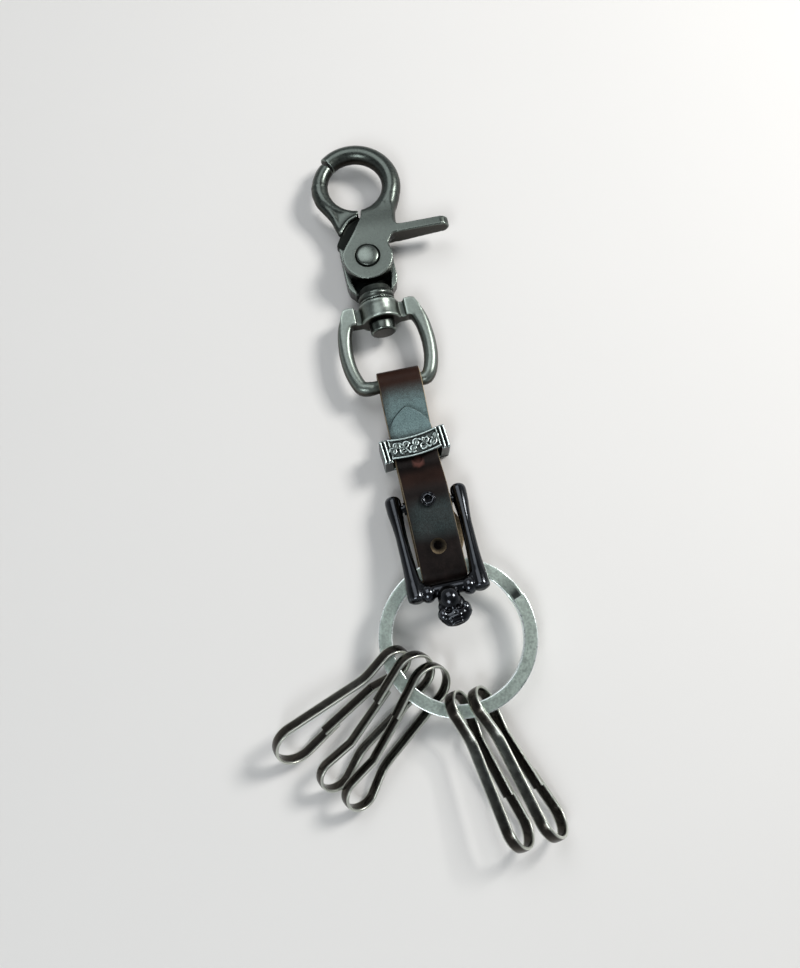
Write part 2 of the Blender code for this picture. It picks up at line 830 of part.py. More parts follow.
def eye_arc(name, start, end, start_radius, end_radius, collection):
    """Part of the round eye, a bar whose thickness changes along it."""
    count = 2 + round(abs(end - start) / 12)
    angles = spaced(start, end, count)
    radii = spaced(start_radius, end_radius, count)
    points = [eye_point(angle, eye_hole_radius + radius) for angle, radius in zip(angles, radii)]
    return tube(name, points, radii, collection, resolution=4)


def eye_edge(start, end, count):
    """Points just outside the eye's hole, where a web meets the round bar."""
    return [eye_point(angle, eye_hole_radius + fuse_overlap)[:2] for angle in spaced(start, end, count)]


def arc_outline(centre_x, centre_y, radius, degrees, count):
    angles = [math.radians(a) for a in spaced(*degrees, count)]
    return [(centre_x + radius * math.cos(a), centre_y + radius * math.sin(a)) for a in angles]


def make_hook_body(parts, cutters):
    """Fixed half of the eye, boss with the spring's pocket, side walls and two neck rings."""
    root_x, root_y, _ = eye_point(eye_fixed_end_degrees, eye_hole_radius + fixed_arc_radius)
    outline = arc_outline(bail_seat_x, rivet_y, body_radius, body_crown_degrees, 14)
    outline += [
        (bail_seat_x - body_radius * 0.98, rivet_y - body_radius * 0.5),
        (bail_seat_x - neck_radius, neck_top_y),
        (bail_seat_x + neck_radius, neck_top_y),
        (bail_seat_x + body_radius * 0.98, rivet_y - body_radius * 0.5),
    ]
    body = slab("hook_body", [outline], body_low_z, body_top_z, parts)
    arm = eye_arc(
        "hook_fixed_arm",
        eye_joint_degrees + eye_joint_gap_degrees,
        eye_fixed_end_degrees,
        fixed_arc_tip_radius,
        fixed_arc_radius,
        cutters,
    )
    web_outline = arc_outline(bail_seat_x, rivet_y, boss_radius + running_gap * 1.4, boss_web_degrees, 4)
    web_outline += eye_edge(eye_web_end_degrees, eye_fixed_end_degrees, 4)
    web_outline += [
        (root_x - fixed_arc_radius * 0.2, root_y),
        (root_x - fixed_arc_radius * 0.95, root_y - fixed_arc_radius * 0.2),
    ]
    web_half = fixed_arc_radius * 0.8
    web = slab("hook_web", [web_outline[::-1]], eye_z - web_half, eye_z + web_half, cutters)
    root_high = neck_length + cut_overrun
    groove_high = root_high / 2
    bore_radius = swivel_pin_radius + running_gap
    neck = turned(
        "hook_neck",
        (
            (bore_radius, root_high),
            (neck_radius, root_high),
            (neck_radius, groove_high),
            (neck_groove_radius, groove_high),
            (neck_groove_radius, groove_high - neck_groove_width),
            (neck_radius, groove_high - neck_groove_width),
            (neck_radius, 0),
            (bore_radius, 0),
        ),
        "Y",
        (bail_seat_x, neck_low_y, swivel_z),
        cutters,
        bored=True,
    )
    fuse(body, web, arm, neck)
    floor_z = body_low_z + body_floor
    rivet_centre = (bail_seat_x, rivet_y, 0)
    pocket = rod("hook_pocket", pocket_radius, floor_z, body_top_z * 2, "Z", rivet_centre, cutters)
    pocket_low_y = neck_top_y + body_floor / 2
    mouth = block(
        "hook_pocket_mouth",
        (bail_seat_x - pocket_radius * 0.72, pocket_low_y, floor_z + layer_gap),
        (bail_seat_x + pocket_radius * 0.72, rivet_y - pocket_radius / 2, body_top_z * 2.1),
        cutters,
    )
    bore_radius = rivet_radius + running_gap
    bore_high = body_top_z * 2
    rivet_bore = rod("hook_rivet_bore", bore_radius, -cut_overrun, bore_high, "Z", rivet_centre, cutters)
    cut(body, pocket, mouth, rivet_bore)
    return give(body, gunmetal("hook_metal"))


def make_lever(parts, cutters):
    """Moving half of the eye, flat boss plate and thumb tab."""
    root_x, root_y, _ = eye_point(eye_lever_start_degrees, eye_hole_radius + lever_arc_radius)
    outline = arc_outline(bail_seat_x, rivet_y, boss_radius, lever_boss_degrees, 20)
    outline += [
        (bail_seat_x + lever_tab_x * 0.86, rivet_y + boss_radius * 0.62),
        (bail_seat_x + lever_tab_x, lever_tab_y - lever_tab_thickness * 0.5),
        (bail_seat_x + lever_tab_x, lever_tab_y + lever_tab_thickness * 0.6),
        (root_x + lever_arc_radius, root_y + lever_arc_radius * 0.35),
    ]
    outline += eye_edge(eye_lever_start_degrees, eye_lever_web_end_degrees, 5)
    outline += [(bail_seat_x - boss_radius * 0.66, rivet_y + boss_radius * 0.78)]
    plate_low_z = body_top_z + running_gap
    lever = slab("trigger_lever", [outline], plate_low_z, lever_top_z, parts)
    arc = eye_arc(
        "lever_arc",
        eye_lever_start_degrees,
        eye_joint_degrees - eye_joint_gap_degrees,
        lever_arc_radius,
        lever_arc_tip_radius,
        cutters,
    )
    tip_radius = lever_tab_tip_depth / 2
    tip_x = lever_tab_length - tip_radius
    tab_outline = [(-fuse_overlap, 0), (-fuse_overlap, -lever_tab_depth)]
    tab_outline += arc_outline(tip_x, -tip_radius, tip_radius, lever_tab_end_degrees, 9)
    tab_half = lever_tab_thickness / 2
    tab = slab("lever_tab", [tab_outline], -tab_half, tab_half, cutters, edge=lever_tab_edge)
    tab.location = (bail_seat_x + lever_tab_x - fuse_overlap, lever_tab_y, lever_top_z)
    tab.rotation_euler = (math.radians(UPRIGHT_DEGREES), 0, math.radians(lever_tab_slope_degrees))
    fuse(lever, arc, tab)
    rivet_centre = (bail_seat_x, rivet_y, 0)
    bore_radius = rivet_radius + running_gap
    bore = rod("lever_rivet_bore", bore_radius, 0, lever_top_z * 2, "Z", rivet_centre, cutters)
    sink_low_z = lever_top_z - countersink_depth
    sink = rod(
        "lever_countersink", countersink_radius, sink_low_z, lever_top_z * 2, "Z", rivet_centre, cutters
    )
    cut(lever, bore, sink)
    return give(lever, gunmetal("lever_metal"))


def make_rivet(parts, cutters):
    """Domed rivet through the lever and the body's floor, with a flat foot below."""
    foot_z = body_low_z - running_gap
    seat_z = lever_top_z - countersink_depth + running_gap
    dome = [
        (rivet_head_radius * math.sin(a), seat_z + rivet_head_height * math.cos(a))
        for a in spaced(0, math.pi / 2, 6)
    ]
    profile = dome + [
        (rivet_radius, seat_z),
        (rivet_radius, foot_z),
        (rivet_head_radius, foot_z),
        (rivet_head_radius, foot_z - rivet_head_height / 2),
        (0, foot_z - rivet_head_height / 2),
    ]
    rivet = turned("trigger_rivet", profile, "Z", (bail_seat_x, rivet_y, 0), parts)
    return give(rivet, gunmetal("rivet_metal"))


def make_spring(parts, cutters):
    """Torsion spring round the rivet, with a leg on the body's wall and one under the lever."""
    per_turn = 12
    steps = round(spring_turns * per_turn)
    low_z = body_low_z + body_floor + running_gap + spring_wire_radius
    leg = pocket_radius - running_gap - spring_wire_radius
    points = []
    for i in range(steps + 1):
        angle = FULL_TURN * i / per_turn
        z = low_z + spring_pitch * i / per_turn
        x = bail_seat_x + spring_coil_radius * math.cos(angle)
        y = rivet_y + spring_coil_radius * math.sin(angle)
        points.append((x, y, z))
    leg_end_y = rivet_y - math.sqrt(leg**2 - spring_coil_radius**2)
    last = points[-1]
    points.insert(0, (bail_seat_x + spring_coil_radius, leg_end_y, low_z))
    points.append((last[0], leg_end_y, last[2]))
    spring = tube("trigger_spring", points, [spring_wire_radius] * len(points), parts, resolution=1)
    return give(spring, spring_steel("spring_wire_steel"))


def make_swivel_pin(parts, cutters):
    """Headed pin: its shank goes up through the barrel into the hook's neck."""
    head_high_y = barrel_low_y - running_gap
    shank_high = swivel_pin_end_y - head_high_y
    pin = turned(
        "swivel_pin",
        (
            (0, shank_high),
            (swivel_pin_radius, shank_high),
            (swivel_pin_radius, 0),
            (swivel_head_radius, 0),
            (swivel_head_radius, -swivel_head_length),
            (0, -swivel_head_length),
        ),
        "Y",
        (bail_seat_x, head_high_y, swivel_z),
        parts,
    )
    return give(pin, gunmetal("swivel_pin_metal"))


def bail_outline(right_side):
    """A closed outline round the bail's middle line, from the points of its right side, bottom to top."""
    left_side = [(-x, y) for x, y in reversed(right_side)]
    return [(bail_seat_x + x, y) for x, y in right_side + left_side]


def make_bail(parts, cutters):
    """Horseshoe eye: flat arms with squared shoulders, a round bar below and a bored barrel above."""
    high_y = barrel_low_y + barrel_length
    span = high_y - upper_fold_y
    outer = bail_outline(
        [
            (bail_half_width * 0.5, upper_fold_y - bail_bar_radius * 0.8),
            (bail_half_width * 0.78, upper_fold_y + span * 0.045),
            (bail_half_width * 0.95, upper_fold_y + span * 0.2),
            (bail_half_width, upper_fold_y + span * 0.38),
            (bail_half_width * 0.985, upper_fold_y + span * 0.6),
            (bail_half_width * 0.9, upper_fold_y + span * 0.82),
            (bail_half_width * 0.74, high_y - bail_edge / 2),
            (barrel_radius * 0.8, high_y),
        ]
    )
    inner_half = bail_half_width - bail_arm_width
    inner = bail_outline(
        [
            (inner_half * 0.62, upper_fold_y + bail_bar_radius * 0.8),
            (inner_half * 0.86, upper_fold_y + span * 0.17),
            (inner_half, upper_fold_y + span * 0.36),
            (inner_half * 0.98, upper_fold_y + span * 0.55),
            (inner_half * 0.88, barrel_low_y - bail_edge),
            (inner_half * 0.8, barrel_low_y + bail_edge),
        ]
    )
    low_z, top_z = upper_fold_z - bail_thickness / 2, upper_fold_z + bail_thickness / 2
    bail = slab("swivel_bail", [outer, inner], low_z, top_z, parts, edge=bail_edge)
    fold_half = strap_width / 2 + running_gap
    fold_room = block(
        "bail_fold_room",
        (-fold_half, upper_fold_y - bail_bar_radius * 3, 0),
        (fold_half, upper_fold_y + bail_bar_radius * 3, top_z * 2),
        cutters,
    )
    cut(bail, fold_room)
    bar_half = fold_half + bail_arm_width * 0.35
    bar_centre = (0, upper_fold_y, upper_fold_z)
    bar = rod("bail_bar", bail_bar_radius, -bar_half, bar_half, "X", bar_centre, cutters)
    barrel_centre = (bail_seat_x, barrel_low_y, swivel_z)
    barrel = rod("bail_barrel", barrel_radius, 0, barrel_length, "Y", barrel_centre, cutters, 36)
    fuse(bail, bar, barrel)
    bore_radius = swivel_pin_radius + running_gap
    bore_high = barrel_length + cut_overrun
    bore = rod("bail_bore", bore_radius, -cut_overrun, bore_high, "Y", barrel_centre, cutters)
    cut(bail, bore)
    return give(bail, gunmetal("bail_metal"))


def joint_place(name, position, parent, collection):
    """An empty on a joint's axis, which carries the pieces that move with it."""
    empty = bpy.data.objects.new(name, None)
    empty.empty_display_size = bail_bar_radius
    collection.objects.link(empty)
    empty.location = Vector(position) - parent_offset(parent)
    empty.parent = parent
    return empty


def parent_offset(parent):
    offset = Vector((0, 0, 0))
    while parent is not None:
        offset += parent.location
        parent = parent.parent
    return offset


def carry(empty, *objects):
    """Parents objects to an empty and leaves them where they are."""
    for obj in objects:
        obj.location = obj.location - parent_offset(empty)
        obj.parent = empty


def bounds_of(objects):
    bpy.context.view_layer.update()
    graph = bpy.context.evaluated_depsgraph_get()
    corners = []
    for obj in objects:
        evaluated = obj.evaluated_get(graph)
        corners += [evaluated.matrix_world @ Vector(corner) for corner in evaluated.bound_box]
    low = [min(corner[i] for corner in corners) for i in range(3)]
    high = [max(corner[i] for corner in corners) for i in range(3)]
    return low, high


def main():
    for obj in list(bpy.data.objects):
        bpy.data.objects.remove(obj)
    parts = new_collection("key_ring")
    cutters = new_collection("key_ring_cutters")
    strap = make_strap(parts, cutters)
    keeper = make_keeper(parts, cutters)
    front_screw, back_screw = make_stud(parts, cutters)
    pin = make_shackle_pin(parts, cutters)
    bow = make_bow(parts, cutters)
    ring = make_ring(parts, cutters)
    clips = make_clips(parts, cutters)
    body = make_hook_body(parts, cutters)
    lever = make_lever(parts, cutters)
    rivet = make_rivet(parts, cutters)
    spring = make_spring(parts, cutters)
    swivel_pin = make_swivel_pin(parts, cutters)
    bail = make_bail(parts, cutters)
    pieces = list(parts.objects)
    for piece in pieces:
        shade(piece)

    root = joint_place("chain", (0, 0, 0), None, parts)
    keeper_slide = joint_place("keeper_slide", (0, keeper_y, front_layer_keeper_z), root, parts)
    bow_swing = joint_place("bow_swing", (0, 0, pin_z), root, parts)
    ring_swing = joint_place("ring_swing", (0, lower_fold_y, ring_z), root, parts)
    bail_swing = joint_place("bail_swing", (0, upper_fold_y, upper_fold_z), root, parts)
    hook_swivel = joint_place("hook_swivel", (bail_seat_x, barrel_low_y, swivel_z), bail_swing, parts)
    trigger = joint_place("trigger", (bail_seat_x, rivet_y, lever_top_z), hook_swivel, parts)
    carry(root, strap, front_screw, back_screw, pin)
    carry(keeper_slide, keeper)
    carry(bow_swing, bow)
    carry(ring_swing, ring)
    carry(bail_swing, bail)
    carry(hook_swivel, body, rivet, spring, swivel_pin)
    carry(trigger, lever)
    for name, place, *_ in clip_hanging_degrees:
        angle = math.radians(place)
        point = (ring_radius * math.cos(angle), ring_centre_y + ring_radius * math.sin(angle), ring_z)
        swing = joint_place(name + "_swing", point, ring_swing, parts)
        gate = joint_place(name + "_gate_bend", clips[name + "_waist"], swing, parts)
        carry(swing, clips[name + "_frame"])
        carry(gate, clips[name + "_gate"])
    for helper in cutters.objects:
        carry(root, helper)
        helper.hide_render = True
        helper.display_type = "WIRE"
    low, high = bounds_of(pieces)
    root.location = (-(low[0] + high[0]) / 2, -(low[1] + high[1]) / 2, -low[2])


main()
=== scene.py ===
"""Key ring, dressed for a studio picture: castings, folded strap, flat split ring and spring clips.

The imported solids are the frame. Lengths are in metres. The chain runs along +Y and lies on Z = 0.
"""

import math

import bmesh
import bpy
import numpy as np
from bpy.props import FloatProperty, FloatVectorProperty, PointerProperty
from mathutils import Matrix, Vector


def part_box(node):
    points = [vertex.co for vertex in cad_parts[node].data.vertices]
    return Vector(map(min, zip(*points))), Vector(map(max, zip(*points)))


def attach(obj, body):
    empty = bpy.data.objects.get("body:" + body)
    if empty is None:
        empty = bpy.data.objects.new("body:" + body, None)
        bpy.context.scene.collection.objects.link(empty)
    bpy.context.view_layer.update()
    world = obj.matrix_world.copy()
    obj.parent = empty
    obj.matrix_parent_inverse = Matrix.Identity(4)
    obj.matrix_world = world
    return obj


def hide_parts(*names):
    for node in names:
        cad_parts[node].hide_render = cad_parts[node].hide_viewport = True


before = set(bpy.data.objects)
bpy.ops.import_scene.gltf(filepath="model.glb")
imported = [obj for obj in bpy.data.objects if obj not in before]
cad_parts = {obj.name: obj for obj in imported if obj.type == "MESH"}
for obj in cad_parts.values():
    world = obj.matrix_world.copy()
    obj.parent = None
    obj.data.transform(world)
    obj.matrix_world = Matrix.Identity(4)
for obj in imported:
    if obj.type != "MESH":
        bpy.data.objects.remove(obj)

bl_info = {
    "name": "Key Ring",
    "version": (1, 0, 0),
    "blender": (4, 5, 0),
    "location": "View3D > Sidebar > Key Ring",
    "description": "Builds a key ring: trigger hook, leather strap, shackle, split ring and clips",
    "category": "Object",
}

MM = 0.001
FULL_TURN = 2 * math.pi
TINY = 1e-9


def middle(node):
    low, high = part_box(node)
    return (Vector(low) + Vector(high)) / 2


# The chain's own axes: X and Y from the stud, Z from the ground
STUD = Vector((middle("stud_screw").x, middle("stud_screw").y, 0))
CHAIN = Matrix.Translation(STUD)

# Photograph: pixels, angles and distance
IMAGE_WIDTH, IMAGE_CENTRE_X, IMAGE_CENTRE_Y = 800, 400.0, 484.0
FOCAL_PIXELS = 900.0
STUD_PIXEL_X, STUD_PIXEL_Y = 428.0, 499.0
CAMERA_TILT = math.radians(14.0)
CHAIN_LEAN = math.radians(-12.2)
CAMERA_HEIGHT = 200.0 * MM
STUD_HEIGHT = 9.8 * MM

# Leather strap, laid out as its solid is
STRAP_WIDTH = 9.8 * MM
LEATHER = 1.5 * MM
HALF_LEATHER = LEATHER / 2
LAYER_GAP = 0.12 * MM
RUNNING_GAP = 0.3 * MM
HOLE_PITCH = 10.4 * MM
HOLE_RADIUS = 1.75 * MM
HOLE_CORE_RADIUS = 0.85 * MM
HOLE_SLANT = 0.35 * MM
TIP_Y = 23.3 * MM
TIP_LENGTH = 7.1 * MM
TIP_START = 0.25 * MM
FRONT_END_Y = -3.5 * MM
BACK_LOW_Z = 1.5 * MM
UPPER_FOLD_Y = 29.2 * MM
UPPER_FOLD_Z = 4.9 * MM
LOWER_FOLD_Y = -15.2 * MM
LOWER_FOLD_INSIDE = 2.15 * MM
LOWER_FOLD_BEND = LOWER_FOLD_INSIDE + HALF_LEATHER
BAR_RADIUS = 1.5 * MM
UPPER_FOLD_BEND = BAR_RADIUS + LAYER_GAP + HALF_LEATHER
KEEPER_Y = 12.9 * MM
KEEPER_BREADTH = 5.4 * MM
KEEPER_HALF_WIDTH = 7.6 * MM
KEEPER_TOP_Z = 7.74 * MM
KEEPER_SKEW = math.radians(4.0)
KEEPER_SHIFT = 0.5 * MM
EASE_ABOVE_KEEPER = 1.8 * MM
EASE_BELOW_KEEPER = 0.3 * MM
PIN_RADIUS = 1.45 * MM
BACK_STUD_Z = BACK_LOW_Z + LAYER_GAP + HALF_LEATHER
PIN_Z = BACK_STUD_Z + HALF_LEATHER + LAYER_GAP + PIN_RADIUS
FRONT_KEEPER_Z = BACK_LOW_Z + LEATHER + LAYER_GAP + HALF_LEATHER
FRONT_STUD_Z = PIN_Z + PIN_RADIUS + LAYER_GAP + HALF_LEATHER
TOP_STUD_Z = FRONT_STUD_Z + LAYER_GAP + LEATHER
STUD_TOP_Z = TOP_STUD_Z + HALF_LEATHER + RUNNING_GAP
STRAP_EDGE = 0.28 * MM
TIP_HALF_WIDTH = 0.35 * MM
TIP_ROUNDNESS = 2.5
BACK_BULGE = 1.9 * MM
BULGE_TOP_Y = -1.0 * MM
BULGE_RISE = 1.6
HOLE_BEVEL = 0.12 * MM
HOLE_SIDES = 48
HOLE_RAGGED = 0.012
# Waves round a ragged rim, their share and where they start
RAGGED_WAVES = ((3, 1.0, 1), (7, 0.6, 0), (11, 0.5, 0))
KEEPER_HOLE_RADII = (1.3 * MM, 1.15 * MM)
STUD_HOLE_RADIUS = 0.9 * MM
BELOW_ALL_Z = -1.0 * MM

# Where the marks on the leather fade in and out, from the edge or the piece beside each
RAW_FADE = (0.22 * MM, 0.04 * MM)
RAW_SHADE = 1.0 * MM
BULGE_SKIN = 0.1 * MM
LIT_EDGE_FADE = (1.0 * MM, 4.0 * MM)
WALL_LIP = 0.05 * MM
SHEEN_DEPTH = 1.0 * MM
WALL_LIGHT = (-0.3 * MM, 1.2 * MM)
TIP_BEYOND = 0.5 * MM
TIP_EDGE = 0.4 * MM
PATCH_BELOW_KEEPER = 0.6 * MM
PATCH_FADE = (-1.25 * MM, -0.75 * MM)
PATCH_SHAPE = (1.15, 1.4)
SHEEN_ABOVE_KEEPER = (1.5 * MM, 5.0 * MM)
SHEEN_BEFORE_FOLD = (6.8 * MM, 0.5 * MM)
SHEEN_BELOW_STUD = (-1.5 * MM, 2.5 * MM, 6.0 * MM, 10.0 * MM)
SHEEN_MIDDLE_X = 0.4 * MM
WARM_BEFORE_FOLD = (9.0 * MM, 3.0 * MM)
SHEEN_BELOW_KEEPER = 5.0 * MM
SHEEN_BELOW_KEEPER_FADE = (-3.5 * MM, -0.5 * MM)

# Split ring and clips
RING_RADIUS = 15.5 * MM
RING_SEAT = 0.8 * MM
RING_Z = 5.5 * MM
RING_WIDTH = 3.0 * MM
RING_HEIGHT = 1.05 * MM
RING_COIL_GAP = 0.1 * MM
RING_CUT_DEGREES = 20.5
RING_DIVE_DEGREES = 24.0
RING_END_GAP_DEGREES = 5.0
RING_CENTRE_Y = LOWER_FOLD_Y + RING_SEAT - RING_RADIUS
RING_CORNER = 0.2 * MM
RING_STATIONS = 420
CLIP_LENGTH = 34.5 * MM
CLIP_STRIP = 0.55 * MM
CLIP_BREADTH = 2.6 * MM
CLIP_SMALL_RADIUS = 3.5 * MM
CLIP_BIG_RADIUS = 4.6 * MM
CLIP_WAIST_AT = 10.6 * MM
CLIP_WAIST_HALF = 1.75 * MM
CLIP_LIP_FROM_END = 14.0 * MM
CLIP_GATE_FROM_END = 10.6 * MM
CLIP_SMALL_SEAT = 4.4 * MM
CLIP_BIG_SEAT = 8.0 * MM
CLIP_DEEP_SEAT = 8.4 * MM
CLIP_CORNER = 0.19 * MM
CLIP_CROWN = 0.12 * MM
CLIP_KINK = 0.9 * MM
SHEEN_FROM_WAIST = 3.0 * MM
BEND_HIGHLIGHT_SCALE = 2.0 * MM
# Shares of a flat wire's breadth at which its faces have points
FACE_SHARES = (0.07, 0.22, 0.36, 0.5, 0.64, 0.78, 0.93)
# Painted highlight share on a face's points beside a corner
HIGHLIGHT_BESIDE_CORNER = 0.6
# Clip, place on the ring, heading, roll, pitch, and how it hangs on the ring
CLIP_HANGING_DEGREES = (
    ("clip_1", 190.0, 206.5, 51.0, 0.0, "small"),
    ("clip_2", 209.0, 219.0, 44.0, 3.0, "big"),
    ("clip_3", 225.5, 224.0, 44.0, 3.0, "deep"),
    ("clip_4", 259.3, 283.3, 60.0, 0.0, "small"),
    ("clip_5", 278.0, 288.0, 60.0, 0.0, "small"),
)

# Hook and bail
BAIL_SEAT_X = -0.9 * MM
EYE_OFFSET_X = 0.9 * MM
EYE_HOLE_RADIUS = 6.55 * MM
LEVER_ARC_RADIUS = 2.35 * MM
LEVER_ARC_TIP_RADIUS = 2.2 * MM
FIXED_ARC_RADIUS = 2.05 * MM
FIXED_ARC_TIP_RADIUS = 1.8 * MM
EYE_Z = 4.9 * MM
FOLD_TO_BARREL = 15.4 * MM
BARREL_LOW_Y = UPPER_FOLD_Y + FOLD_TO_BARREL
BARREL_LENGTH = 4.5 * MM
BARREL_RADIUS = 4.8 * MM
NECK_LENGTH = 3.2 * MM
NECK_TOP_Y = BARREL_LOW_Y + BARREL_LENGTH + RUNNING_GAP + NECK_LENGTH
NECK_TO_RIVET = 8.0 * MM
RIVET_Y = NECK_TOP_Y + NECK_TO_RIVET
RIVET_TO_EYE = 20.3 * MM
EYE_Y = RIVET_Y + RIVET_TO_EYE
EYE_JOINT_DEGREES = 131.0
EYE_JOINT_GAP_DEGREES = 2.0
EYE_LEVER_START_DEGREES = -62.0
BAIL_HALF_WIDTH = 11.2 * MM
BAIL_ARM_WIDTH = 3.1 * MM
BAIL_THICKNESS = 3.8 * MM
BAIL_SPAN = BARREL_LOW_Y + BARREL_LENGTH - UPPER_FOLD_Y
SWIVEL_PIN_RADIUS = 2.0 * MM
BORE_RADIUS = SWIVEL_PIN_RADIUS + RUNNING_GAP
BOSS_RADIUS = 5.9 * MM
BODY_HALF_WIDTH = 6.1 * MM
BODY_LOW_Z = 0.9 * MM
BODY_FLOOR = 1.5 * MM
BODY_TOP_Z = 5.0 * MM
PLATE_LOW_Z = BODY_TOP_Z + RUNNING_GAP
PLATE_TOP_Z = 8.2 * MM
WEB_TOP_Z = 6.2 * MM
POCKET_RADIUS = 4.7 * MM
COUNTERSINK_RADIUS = 3.0 * MM
COUNTERSINK_DEPTH = 0.3 * MM
RIVET_BORE_RADIUS = 1.8 * MM
NECK_LOW_Y = NECK_TOP_Y - NECK_LENGTH
NECK_RADIUS = 4.5 * MM
NECK_GROOVE_RADIUS = 3.9 * MM
TAB_X = 7.4 * MM
RIVET_TO_TAB = 5.7 * MM
TAB_Y = RIVET_Y + RIVET_TO_TAB
TAB_LENGTH = 13.4 * MM
TAB_DEPTH = 5.4 * MM
TAB_TIP_DEPTH = 4.0 * MM
TAB_THICKNESS = 2.1 * MM
TAB_SLOPE = math.radians(-1.0)
BAIL_ROOT_X = (3.2 * MM, 5.0 * MM)
BAIL_GROWS_FROM_X = 4.7 * MM
BAIL_GROWS_OVER = 2.5 * MM
LINK_LOW_INSET = 0.1 * MM
LINK_HIGH_INSET = 0.5 * MM
LINK_TOP_INSET = 0.9 * MM
SLOT_SHADE_HALF = 1.9 * MM
SLOT_SHADE_ENDS = (1.0 * MM, 0.4 * MM)
SLOT_SHADE_LIFT = 0.1 * MM
BAR_SIDES = 36
TURNED_SIDES = 72
TOOL_SIDES = 64

# Screws, rivet and swivel pin
SCREW_SHANK_RADIUS = 0.6 * MM
STUD_ROUNDING = 0.12 * MM
BACK_HEAD = 0.7 * MM
BACK_ROUNDING = 0.2 * MM
BACK_SLOT_HALF = 0.2 * MM
BACK_SLOT_OUT = 0.01 * MM
BACK_SLOT_IN = 0.02 * MM
RIVET_DOME = 0.42 * MM
RIVET_SUNK = 0.35 * MM
RIVET_SHANK_RADIUS = 1.5 * MM
RIVET_FOOT = 0.45 * MM
PIN_HEAD = 2.4 * MM
PIN_CHAMFER = 0.25 * MM
PIN_ROUNDING = 0.3 * MM
PIN_RIM = 0.5 * MM

# Shackle
BOW_HALF_WIDTH = 7.45 * MM
BOW_END_RADIUS = 1.75 * MM
BOW_MIDDLE_RADIUS = 1.25 * MM
BOW_BAR_RADIUS = 1.35 * MM
BOW_END_REACH = 3.3 * MM
BOW_RING_CLEARANCE = 0.6 * MM
BOW_FOLD_CLEARANCE = 0.95 * MM
BOW_DRAW_IN = 0.5 * MM
BOW_FILLET = 4.0 * MM
SKULL_RADIUS = 3.1 * MM
SKULL_OFFSET_X = -0.3 * MM
SKULL_DROP = 2.4 * MM
SKULL_LEAN = math.radians(8.0)
SOCKET_AT = (0.42, 0.88, 0.66)
SOCKET_RADII = (0.33, 0.23, 0.34)
NOSE_AT = (0, 1.16, 0.58)
NOSE_RADII = (0.12, 0.12, 0.18)
TOOTH_ROWS = (1.38, 1.58, 1.78)
TOOTH_CURVE = 0.05
TOOTH_LINE_FROM = 1.28
TOOTH_LINE_PITCH = 0.20
KNUCKLE_INSET = 2.5 * MM
KNUCKLE_BELOW = 0.3 * MM
KNUCKLE_LIFT = 0.1 * MM
KNUCKLE_RADII = (1.75 * MM, 2.0 * MM, 1.85 * MM)

# Keeper's relief
KEEPER_WALL = 1.2 * MM
KEEPER_SIDE_WALL = 1.9 * MM
KEEPER_RIB = 0.30 * MM
KEEPER_RIB_STEP = 0.55 * MM
KEEPER_LINE = 0.19 * MM
KEEPER_RELIEF = 0.42 * MM
KEEPER_SAG = 0.62 * MM
BANNER_INSET = 0.1 * MM
VINE_INSET = 0.75 * MM
VINE_END_INSET = 0.5 * MM
CURL_SHIFT = 0.42 * MM
CURL_TURN = 3.6
LEAF_SHIFT = 0.75 * MM
LEAF_RADII = (0.30 * MM, 0.44 * MM, 0.30 * MM)

# Finishes: sizes of blotches, lines and reliefs, and the colours of what is worn, and of painted
# shade, highlights and sheen
CAST_MOTTLE, CAST_SPECKLE, CAST_GRAIN, CAST_RELIEF = 0.6 * MM, 0.16 * MM, 0.4 * MM, 0.05 * MM
PLATING_CLOUD, PLATING_SCRATCH, PLATING_RELIEF = 2.5 * MM, 0.12 * MM, 0.02 * MM
SILVER_SPECKLE, SILVER_RELIEF = 0.22 * MM, 0.03 * MM
WIRE_BLOTCH, WIRE_CLOUD, WIRE_LINE, WIRE_RELIEF = 0.45 * MM, 3.0 * MM, 0.07 * MM, 0.03 * MM
STEEL_BLOTCH, STEEL_LINE, STEEL_RELIEF = 1.4 * MM, 0.08 * MM, 0.01 * MM
LEATHER_CLOUD, LEATHER_CREASE, LEATHER_SHEEN_CLOUD = 4.5 * MM, 1.6 * MM, 1.4 * MM
LEATHER_FIBRE, LEATHER_STAIN, LEATHER_RELIEF = 0.16 * MM, 2.2 * MM, 0.09 * MM
STEEP_SHADE_BROWN_SHARES = (0.17, 0.115, 0.09)
STEEL_SHEEN_COLOUR = (0.42, 0.46, 0.42)
STEEL_EDGE_HIGHLIGHT_COLOUR = (0.62, 0.64, 0.58)
LEATHER_WARM_AND_SHEEN_COLOUR = (0.026, 0.0105, 0.0065)
LEATHER_SHEEN_COLOUR = (0.165, 0.245, 0.250)
LEATHER_RUBBED_COLOUR = (0.105, 0.042, 0.034)

# Stage
FLOOR_HALF = 3.0
FLOOR_DROP = 0.02 * MM
FLOOR_CLOUD = 30 * MM
LAMP_TARGET_Z = 5 * MM
SKY_LOW_COLOUR = (0.46, 0.475, 0.49)
SKY_HIGH_COLOUR = (0.10, 0.105, 0.11)
NEAR_CLIP = 10 * MM


